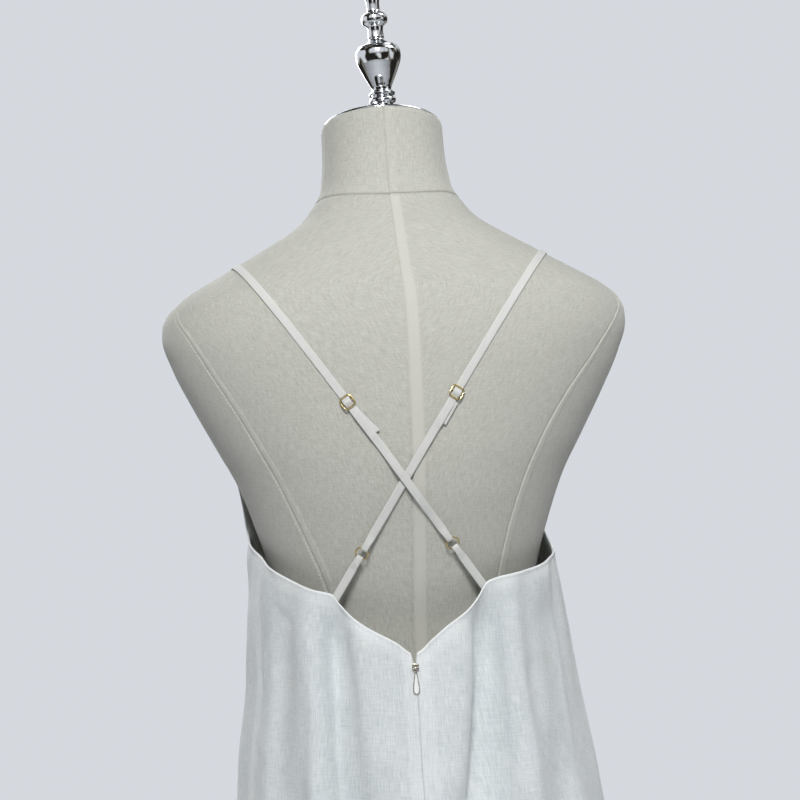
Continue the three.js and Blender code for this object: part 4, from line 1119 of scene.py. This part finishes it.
PANELS = {
    "dress_front": (
        "front_panel", FRONT_EDGE, LEFT_SIDE, 360 + RIGHT_SIDE, no_shift, FRONT_STEP,
    ),
    "dress_back_left": (
        "back_panel_left", BACK_LEFT_EDGE, SEAM_ANGLE, LEFT_SIDE, left_shift, BACK_STEP,
    ),
    "dress_back_right": (
        "back_panel_right", BACK_RIGHT_EDGE, RIGHT_SIDE, SEAM_ANGLE, right_shift, BACK_STEP,
    ),
}
grids, dress_pieces = {}, {}
for name, (cad_node, *cut) in PANELS.items():
    solid, uv, doubled_and_highlight, grids[name] = panel(*cut)
    dress_pieces[name] = add_piece(
        name, solid, white_linen, uv, replaces=[cad_node], doubled_and_highlight=doubled_and_highlight
    )
    print(name, "area", round(flat_area(grids[name][2]), 3), "square metres")

# %% The hem's stitches
hem_lines = []
for angle, height, face, out in grids.values():
    row = np.abs(height[:, 0] - HEM_HEIGHT - HEM_FOLD).argmin()
    line = face[row] + out[row] * 0.05
    hem_lines.append(sewn_line(line, out[row], pitch=3.2, length=2.5, radius=0.24))
add_piece("hem_stitches", joined(*hem_lines), white_thread)

# %% [markdown]
# ## Straps
#
# Each long strap leaves the front point, lies over the shoulder, and crosses the other on the
# back. A strap under tension takes the shortest way over what it lies on, so its line is the hull
# of the form's section in one plane, found by keeping only the points where the line turns the
# same way. From there everything is measured in the strap's own frame: along the line, out from
# the skin, and across. The strap goes over the slider's bar, down round the ring and back up
# inside itself, and its sewn end shows as a tail below the slider. A turned strap is a soft flat
# tube, so its section is a flattened oval with full sides.

# %% The line of a strap over the form
RING_HALVINGS, SKIN_HALVINGS = 26, 30
SKIN_REACH = 400.0  # mm, farther than any point of the skin lies from the inside


def torso_share(points):
    """How far out points lie on the torso, 1 on the skin: the ring through each point is found by
    halving, and the share is the oval's own measure there, less the bust's swell."""
    x, y, z = np.moveaxis(points, -1, 0)
    low, high = np.full(x.shape, float(TORSO_LOW)), np.full(x.shape, TORSO_HIGH)
    for _ in range(RING_HALVINGS):
        ring = (low + high) / 2
        y_back, y_front, power = TORSO["y_back"](ring), TORSO["y_front"](ring), TORSO["power"](ring)
        depth = (y_back - y_front) / 2
        u = np.abs(x / TORSO["width"](ring)) ** power
        v = signed_power((y - (y_back + y_front) / 2) / depth, power)
        total = u + np.abs(v)
        c = signed_power(v, 0.5) / np.sqrt(total + 1e-9)
        share = total ** (1 / power) - TORSO["bust"](ring) * bust_swell(x, c) / depth
        below = ring + ring_rise(TORSO, ring, c) < z
        low, high = np.where(below, ring, low), np.where(below, high, ring)
    return share


def skin_along(start, ways):
    """Where lines from a point inside the torso leave its skin, found by halving."""
    near, far = np.zeros(len(ways)), np.full(len(ways), SKIN_REACH)
    for _ in range(SKIN_HALVINGS):
        middle = (near + far) / 2
        inside = torso_share(start + ways * middle[:, None]) < 1
        near, far = np.where(inside, middle, near), np.where(inside, far, middle)
    return start + ways * near[:, None]


def skin_normal(points):
    """The way out of the skin: how the share grows over 3 mm along each axis."""
    grown = [torso_share(points + axis) - torso_share(points - axis) for axis in np.eye(3) * 1.5]
    return unit(np.stack(grown, -1))


def taut_line(front, shoulder, end):
    """The hull of the torso's section in the plane of three points, from front to end."""
    normal = unit(np.cross(shoulder - front, end - front))
    inside = (front + end) / 2 * 0.75 + shoulder * 0.25
    along = unit(front - inside)
    up = unit(np.cross(normal, along))
    up = up * np.sign(up @ (shoulder - inside))
    last = math.atan2((end - inside) @ up, (end - inside) @ along) % (2 * math.pi)
    swing = np.linspace(0, last, 260)[1:-1, None]
    skin = skin_along(inside, along * np.cos(swing) + up * np.sin(swing))
    plane = np.cross(along, up)
    line = [front]
    for point in [*skin, end]:
        while len(line) > 1 and np.cross(line[-1] - line[-2], point - line[-1]) @ plane <= 0:
            line.pop()
        line.append(point)
    return np.array(line)


def blurred(values, reach):
    """Values along a line, each the mean of its neighbours within a reach, the ends held."""
    padded = np.pad(values, ((reach, reach), (0, 0)), mode="edge")
    total = np.cumsum(np.pad(padded, ((1, 0), (0, 0))), axis=0)
    window = 2 * reach + 1
    return (total[window:] - total[:-window]) / window


class Route:
    """A strap's line at every millimetre, with its way along, out of the skin and across."""

    def __init__(self, line):
        """Places every millimetre on a line of points, smoothed except at its two ends."""
        lengths = np.concatenate([[0], np.cumsum(np.linalg.norm(np.diff(line, axis=0), axis=1))])
        self.length = lengths[-1]
        self.at = np.linspace(0, self.length, int(self.length) + 1)
        point = np.stack([np.interp(self.at, lengths, line[:, k]) for k in range(3)], -1)
        off_ends = np.minimum(self.at, self.length - self.at) > 4
        self.point = np.where(off_ends[:, None], blurred(point, 3), point)
        self.along = unit(blurred(np.gradient(self.point, axis=0), 4))
        out = skin_normal(self.point)
        out -= self.along * np.sum(out * self.along, -1, keepdims=True)
        self.out = unit(blurred(out, 3))
        self.across = unit(np.cross(self.out, self.along))

    def nearest(self, target):
        """The distance along the line at its point nearest to a target."""
        return self.at[np.linalg.norm(self.point - target, axis=1).argmin()]

    def read(self, values, along):
        """Values of the line at distances along it, carried straight on past its ends."""
        return np.stack([np.interp(along, self.at, values[:, k]) for k in range(3)], -1)

    def place(self, along, height, side):
        """Points at distances along, out from the line, and across."""
        out, across = self.read(self.out, along), self.read(self.across, along)
        return self.read(self.point, along) + out * height[..., None] + across * side[..., None]


# %% The straps' fixed points
STRAP_WIDTH, STRAP_THICK, STRAP_SEAT = 6.4, 1.0, 0.5
LAYER_STEP = STRAP_THICK + SEAM_GAP
STRAP_UNDER = STRAP_SEAT + STRAP_THICK / 2
WIRE, WIRE_CLEAR, RING_RADIUS = 0.62, 0.3, 4.85
RING_STRAP = 5.2  # mm, the strap's width where it is gathered in the ring
TURN_RADIUS = WIRE + WIRE_CLEAR + STRAP_THICK / 2
TURN_OFFSET = math.sqrt(RING_RADIUS**2 - (RING_STRAP / 2) ** 2)
RING_HEIGHT = STRAP_UNDER + TURN_RADIUS
SLIDER_LENGTH, SLIDER_WIDTH, BAR = 10.6, 11, 1.3
BAR_PITCH = (SLIDER_LENGTH - BAR) / 2
SLIDER_HEIGHT = STRAP_UNDER + STRAP_THICK / 2 + WIRE_CLEAR + BAR / 2 + LAYER_STEP / 2
SLIDER_TILT = math.atan2(LAYER_STEP / 2, BAR_PITCH)
CROSSING = np.array([1, 95, 1162])
CROSSING_REACH, CROSSING_RAMP = 34, 22  # mm, half the hump's length and its ramp
SEWN_BELOW = 8.0  # mm from the cut edge down to a strap's sewn end
GATHER_FROM, GATHER_TO = 15, 9.5  # mm from a ring's centre, where a strap narrows into it
TAIL_WIDTH, TAIL_THICK, TAIL_FROM = 5.6, 0.8, 6.5  # mm; the last is below the slider's bar
TAIL_BULGE = 0.95  # mm by which the strap rides out over the tail

# Each strap: a point on the shoulder, its slider, its ring, the angles of its front and back
# ends with the heights of their edges, and its lift where it crosses over the other.
STRAPS = {
    "left": ((125, -10, 1332), (47.8, 98, 1225.3), (-30, 84, 1112), (161.5, 1247), (-24, 1081), 2.7),
    "right": ((-125, -10, 1338), (-36, 98, 1229), (45.4, 84, 1110), (202, 1247), (27.7, 1077), 0),
}


def seated(route, along, height, tilt, points):
    """Points made flat about the origin, Y along the strap and Z out, set on a strap's line."""
    at = np.array([along])
    tangent, out = route.read(route.along, at)[0], route.read(route.out, at)[0]
    basis = np.stack([np.cross(tangent, out), tangent, out])
    return rotated(points, "X", tilt) @ basis + route.read(route.point, at)[0] + out * height


def with_ends(uv):
    """A UV for each point of a tube, its two middle points last."""
    flat = uv.reshape(-1, 2)
    return np.concatenate([flat, flat[:1], flat[-1:]])


def flat_tube(route, path, thick=STRAP_THICK):
    """A strap along a path of distance, height and width. Its section is an oval with full
    sides: half its width times cosine and half its thickness times sine, to small powers."""
    path = np.array(path, float)
    lengths = np.concatenate([[0], np.cumsum(np.hypot(*np.diff(path[:, :2], axis=0).T))])
    even = np.linspace(0, lengths[-1], int(lengths[-1] / 0.9) + 2)
    path = np.stack([np.interp(even, lengths, path[:, k]) for k in range(3)], -1)
    path[1:-1] = blurred(path, 1)[1:-1]
    way = unit(np.gradient(path[:, :2], axis=0))
    turn = turns(20)
    side = signed_power(np.cos(turn), 0.55) * path[:, 2:] / 2
    rise = signed_power(np.sin(turn), 0.8) * thick / 2 + 0 * side
    along = path[:, :1] - way[:, 1:] * rise
    height = path[:, 1:2] + way[:, :1] * rise
    uv = np.stack([side + np.sign(rise) * 8, even[:, None] + 0 * side], -1)
    return tube(route.place(along, height, side)), with_ends(uv)


def stretch(start, stop, height_at, width, step=2.0):
    """Path points from start to stop at the heights that a function gives."""
    at = np.linspace(start, stop, max(2, round(abs(stop - start) / step)))
    return [(a, height_at(a), width) for a in at]


def turn_round(along, way, width):
    """Path points half round a ring's wire, from over it to under it."""
    swing = np.linspace(0, np.pi, 14)
    around = along + way * TURN_RADIUS * np.sin(swing)
    return [(a, RING_HEIGHT + TURN_RADIUS * np.cos(t), width) for a, t in zip(around, swing)]


# %% Straps, tabs and tails
# Each tail's length and how far it lies aside of its strap, at the slider and at its end, in mm.
TAILS = {"left": (27, 0.2, 4.0), "right": (21, 2.6, 3.2)}
routes, strap_places = {}, {}
for side, (shoulder, slider_at, ring_at, front_end, back_end, lift) in STRAPS.items():
    tuck = CLOTH + SEAM_GAP + STRAP_SEAT + STRAP_THICK + 0.6
    ends = []
    for (angle, edge), deep in ((front_end, tuck), (back_end, tuck + LAYER_STEP + 0.8)):
        angle, height = np.array([float(angle)]), np.array([edge - SEWN_BELOW])
        ends.append((cloth_point(angle, height) - cloth_normal(angle, height) * deep)[0])
    route = Route(taut_line(ends[0], np.array(shoulder, float), ends[1]))
    slider, ring = route.nearest(slider_at), route.nearest(ring_at)
    crossing = route.nearest(CROSSING)
    tail_length, *tail_aside = TAILS[side]
    tail_end = slider + BAR_PITCH + tail_length
    routes[side], strap_places[side] = route, (slider, ring)

    def rise(along, crossing=crossing, lift=lift):
        """A soft hump where the strap crosses over the other one."""
        return lift * ease((CROSSING_REACH - abs(along - crossing)) / CROSSING_RAMP)

    def inner(along):
        """The layer that lies on the form."""
        return STRAP_UNDER + rise(along)

    def outer(along, slider=slider, tail_end=tail_end):
        """The outer layer also rides over the tail below the slider."""
        over_tail = ease((along - slider - 7) / 6) * ease((tail_end + 7 - along) / 7)
        return STRAP_UNDER + LAYER_STEP + rise(along) + TAIL_BULGE * over_tail

    top = SLIDER_HEIGHT + BAR / 2 + WIRE_CLEAR + STRAP_THICK / 2
    over = STRAP_UNDER + 2 * TURN_RADIUS - 0.2
    long_path = [
        *stretch(0, slider - BAR_PITCH + 0.8, lambda along: STRAP_UNDER, STRAP_WIDTH),
        (slider - 1.1, top - 0.3, STRAP_WIDTH),
        (slider, top, STRAP_WIDTH),
        (slider + 1.1, top - 0.3, STRAP_WIDTH),
        *stretch(slider + BAR_PITCH - 0.8, ring - GATHER_FROM, outer, STRAP_WIDTH),
        (ring - GATHER_TO, over, RING_STRAP),
        *turn_round(ring - TURN_OFFSET, 1, RING_STRAP),
        (ring - GATHER_TO, STRAP_UNDER + 0.1, RING_STRAP),
        *stretch(ring - GATHER_FROM, slider + 1.2, inner, STRAP_WIDTH - 0.2),
    ]
    solid, uv = flat_tube(route, long_path)
    add_piece(f"long_strap_{side}", solid, strap_linen, uv, replaces=[f"strap_{side}"])
    end = route.length
    tab_path = [
        *stretch(end, ring + GATHER_FROM, lambda along: STRAP_UNDER + LAYER_STEP, STRAP_WIDTH),
        (ring + GATHER_TO, over, RING_STRAP),
        *turn_round(ring + TURN_OFFSET, -1, RING_STRAP),
        (ring + GATHER_TO, STRAP_UNDER + 0.1, RING_STRAP),
        *stretch(ring + GATHER_FROM, end, lambda along: STRAP_UNDER, STRAP_WIDTH),
    ]
    solid, uv = flat_tube(route, tab_path)
    add_piece(f"short_strap_{side}", solid, strap_linen, uv, replaces=[f"tab_{side}"])
    tail_height = STRAP_UNDER + STRAP_THICK / 2 + 0.55
    tail_start = slider + TAIL_FROM
    tail_path = stretch(tail_start, tail_end, lambda along: tail_height + rise(along), TAIL_WIDTH)
    (points, faces), uv = flat_tube(route, tail_path, TAIL_THICK)
    down = np.linalg.norm(points - route.read(route.point, np.array([tail_start])), axis=1)
    aside = np.interp(down, (0, tail_length), tail_aside)[:, None]
    points = points + route.read(route.across, np.array([slider + 20])) * aside
    add_piece(f"strap_tail_{side}", (points, faces), strap_linen, uv)

# %% Rings and sliders of the straps
SLIDER_CORNER = 2.6  # mm, the radius of the frame's corners
BAR_FLAT = 0.4  # the middle bar's radius as a share of its width
WIRE_SIDES, RING_STEPS, BAR_STEPS = 14, 56, 12


def wire_loop(line, radius):
    """A closed round wire on a flat closed line: at each point a ring of its normal and Z."""
    tangent = unit(np.roll(line, -1, 0) - np.roll(line, 1, 0))
    normal = np.stack([tangent[:, 1], -tangent[:, 0], 0 * tangent[:, 0]], -1)
    turn = turns(WIRE_SIDES)[:, None]
    spokes = np.cos(turn) * normal[:, None] + np.sin(turn) * np.array([0, 0, 1.0])
    return loop(line[:, None] + spokes * radius)


def rounded_frame(width, length, corner, steps=12):
    """A closed line round a rectangle with round corners: four quarter circles in turn."""
    quarter = np.linspace(0, np.pi / 2, steps)
    parts = []
    for k, (sx, sy) in enumerate(((1, 1), (-1, 1), (-1, -1), (1, -1))):
        x = sx * (width / 2 - corner) + corner * np.cos(quarter + k * np.pi / 2)
        y = sy * (length / 2 - corner) + corner * np.sin(quarter + k * np.pi / 2)
        parts.append(np.stack([x, y, 0 * x], -1))
    return np.concatenate(parts)


def circle(radius, steps):
    """A closed circle of a radius, flat about the origin."""
    turn = turns(steps)
    return radius * np.stack([np.cos(turn), np.sin(turn), 0 * turn], -1)


def slider_bar():
    """The slider's middle bar: a round rod from side to side."""
    reach = SLIDER_WIDTH / 2 - BAR / 2
    line = np.linspace(-reach, reach, BAR_STEPS)[:, None]
    turn = turns(WIRE_SIDES)
    rod = (line, np.cos(turn) * BAR * BAR_FLAT, np.sin(turn) * BAR * BAR_FLAT)
    return tube(np.stack(np.broadcast_arrays(*rod), -1))


ring_wire = wire_loop(circle(RING_RADIUS, RING_STEPS), WIRE)
slider_outline = rounded_frame(SLIDER_WIDTH - BAR, SLIDER_LENGTH - BAR, SLIDER_CORNER)
slider_metal = joined(wire_loop(slider_outline, BAR / 2), slider_bar())
for side, route in routes.items():
    slider, ring = strap_places[side]
    fittings = (
        ("ring", ring_wire, ring, RING_HEIGHT, 0),
        ("slider", slider_metal, slider, SLIDER_HEIGHT, SLIDER_TILT),
    )
    for kind, (points, faces), along, height, tilt in fittings:
        solid = seated(route, along, height, tilt, points), faces
        cad_node = f"{kind}_{side}"
        add_piece(f"strap_{cad_node}", solid, pale_gold, replaces=[cad_node])

# %% [markdown]
# ## The zip
#
# An invisible zip is sewn behind the seam, so that only its slider and its pull show, at the top.
# Its slider's body is behind the cloth, and a short neck comes out through the parting to two
# lugs that hold a pin. The pull hangs from the pin by its eye and swings on it: it rides on its
# own body. It is a drop of metal with enamel in it, so two shells share one outline, the enamel
# narrower and a little thicker. The coil is a row of small nylon beads between the two tapes.

# %% The zip's slider and pull
HINGE_HEIGHT, HINGE_OUT = 1018.5, 2.3
hinge_angle, hinge_height = np.array([SEAM_ANGLE]), np.array([HINGE_HEIGHT])
hinge_foot = cloth_point(hinge_angle, hinge_height)[0]
lean = math.atan2(cloth_point(hinge_angle, hinge_height - 20)[0, 1] - hinge_foot[1], 20)
PULL_REST = -math.radians(3.4)
DROP_TOP, DROP_WIDEST, DROP_RADIUS = 2.4, 17.3, 2.7  # mm from the hinge, and the round end's radius
DROP = table(
    "down half_width",
    [1.0, 0.95],
    [3.4, 0.98],
    [6.5, 1.35],
    [10, 1.95],
    [13.5, 2.45],
    [16.2, 2.68],
    [DROP_WIDEST, DROP_RADIUS],
)
DROP_SIDES = 28
METAL_THICK, ENAMEL_THICK, ENAMEL_INSET = 1.2, 1.5, 0.42
# The eye round the hinge pin: places across it and its radius there, round the outside and back.
EYE_PROFILE = ((-1.4, 1.3), (-1.15, 1.5), (1.15, 1.5), (1.4, 1.3), (1.4, 0.8), (-1.4, 0.8))
EYE_STEPS = 40


def drop(inset, thick):
    """A drop-shaped shell: level ovals down it, as wide as the table says and then as a circle
    closes, each to a small power so that its faces are nearly flat."""
    radius = DROP_RADIUS - inset
    round_end = DROP_WIDEST + np.sin(np.linspace(0, np.pi / 2, 22)[1:-1]) * radius
    down = np.concatenate([np.linspace(DROP_TOP + inset * 2, DROP_WIDEST, 40), round_end])
    below = np.clip(down - DROP_WIDEST, 0, None)
    closing = np.sqrt(np.clip(radius**2 - below**2, 1e-4, None))
    half = np.where(below > 0, closing, DROP["half_width"](down) - inset)
    half = half * np.sqrt(np.clip((down - down[0]) / 0.9 + 0.08, 0, 1)) if inset else half
    turn = turns(DROP_SIDES)
    x = signed_power(np.cos(turn), 0.7) * half[:, None]
    full = np.minimum(1, half / 0.9)[:, None] ** 0.5
    y = signed_power(np.sin(turn), 0.7) * thick / 2 * full
    return tube(np.stack([x, y, -down[:, None] + 0 * x], -1))


def eye():
    """The pull's eye: a ring round the X axis, one circle for each place of its profile."""
    turn = turns(EYE_STEPS)
    circles = [(0 * turn + x, radius * np.cos(turn), radius * np.sin(turn)) for x, radius in EYE_PROFILE]
    return loop(np.array([np.stack(ring, -1) for ring in circles]))


def on_zip(points, tilt=0.0, out=0.0):
    """Points of the zip's own frame, X across, Y out and Z up, set on the cloth."""
    swung = rotated(points, "X", tilt) + np.array([0, out, 0])
    return rotated(swung, "X", lean) + hinge_foot


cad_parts["zip_slider"].data.materials.clear()
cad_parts["zip_slider"].data.materials.append(zip_metal)

pull_shells = (
    ("zip_pull_metal", joined(drop(0, METAL_THICK), eye()), zip_metal, ["zip_pull"]),
    ("zip_pull_enamel", drop(ENAMEL_INSET, ENAMEL_THICK), enamel, ()),
)
for name, (points, faces), finish, cad_nodes in pull_shells:
    solid = on_zip(points, PULL_REST, HINGE_OUT), faces
    add_piece(name, solid, finish, body="pull", replaces=cad_nodes)

# %% The zip's coil and tapes
ZIP_TOP, ZIP_LENGTH = 1012.5, 300
TAPE_WIDTH, TAPE_THICK = 22, 0.9
TAPE_DEPTH = CLOTH + 0.8
COIL_PITCH, COIL_LENGTH, COIL_RADIUS = 1.3, 3.4, 0.55
COIL_DEPTH = TAPE_DEPTH + 1.9
tape_height = np.linspace(ZIP_TOP, ZIP_TOP - ZIP_LENGTH, 121)[:, None]
tape_across = np.linspace(TAPE_WIDTH / 2, -TAPE_WIDTH / 2, 31)[None, :]
tape_angle = SEAM_ANGLE + np.sign(tape_across) * angle_across(np.abs(tape_across), tape_height)
tape_skin, tape_out = cloth_point(tape_angle, tape_height), cloth_normal(tape_angle, tape_height)
tape_deep = TAPE_DEPTH + 0.5 * (1 - ease((np.abs(tape_across) - 1.2) / 1.2))
tape_faces = [tape_skin - tape_out * (tape_deep + more)[..., None] for more in (0, TAPE_THICK)]
tape_flat = np.stack(np.broadcast_arrays(tape_across, tape_height), -1).reshape(-1, 2)
add_piece(
    "zip_tapes",
    wall(*tape_faces),
    strap_linen,
    np.concatenate([tape_flat, tape_flat]),
    replaces=["zip_tape"],
)
coil_height = np.arange(ZIP_TOP - 1.5, ZIP_TOP - ZIP_LENGTH + 2, -COIL_PITCH)
coil_angle = np.full(coil_height.shape, SEAM_ANGLE)
coil_out = cloth_normal(coil_angle, coil_height)
coil_at = cloth_point(coil_angle, coil_height) - coil_out * COIL_DEPTH
coil_across = unit(np.cross(coil_out, np.array([0, 0, 1.0])))
coil = beads(coil_at, coil_across, coil_out, COIL_LENGTH, COIL_RADIUS, sides=8)
add_piece("zip_coil", coil, nylon)
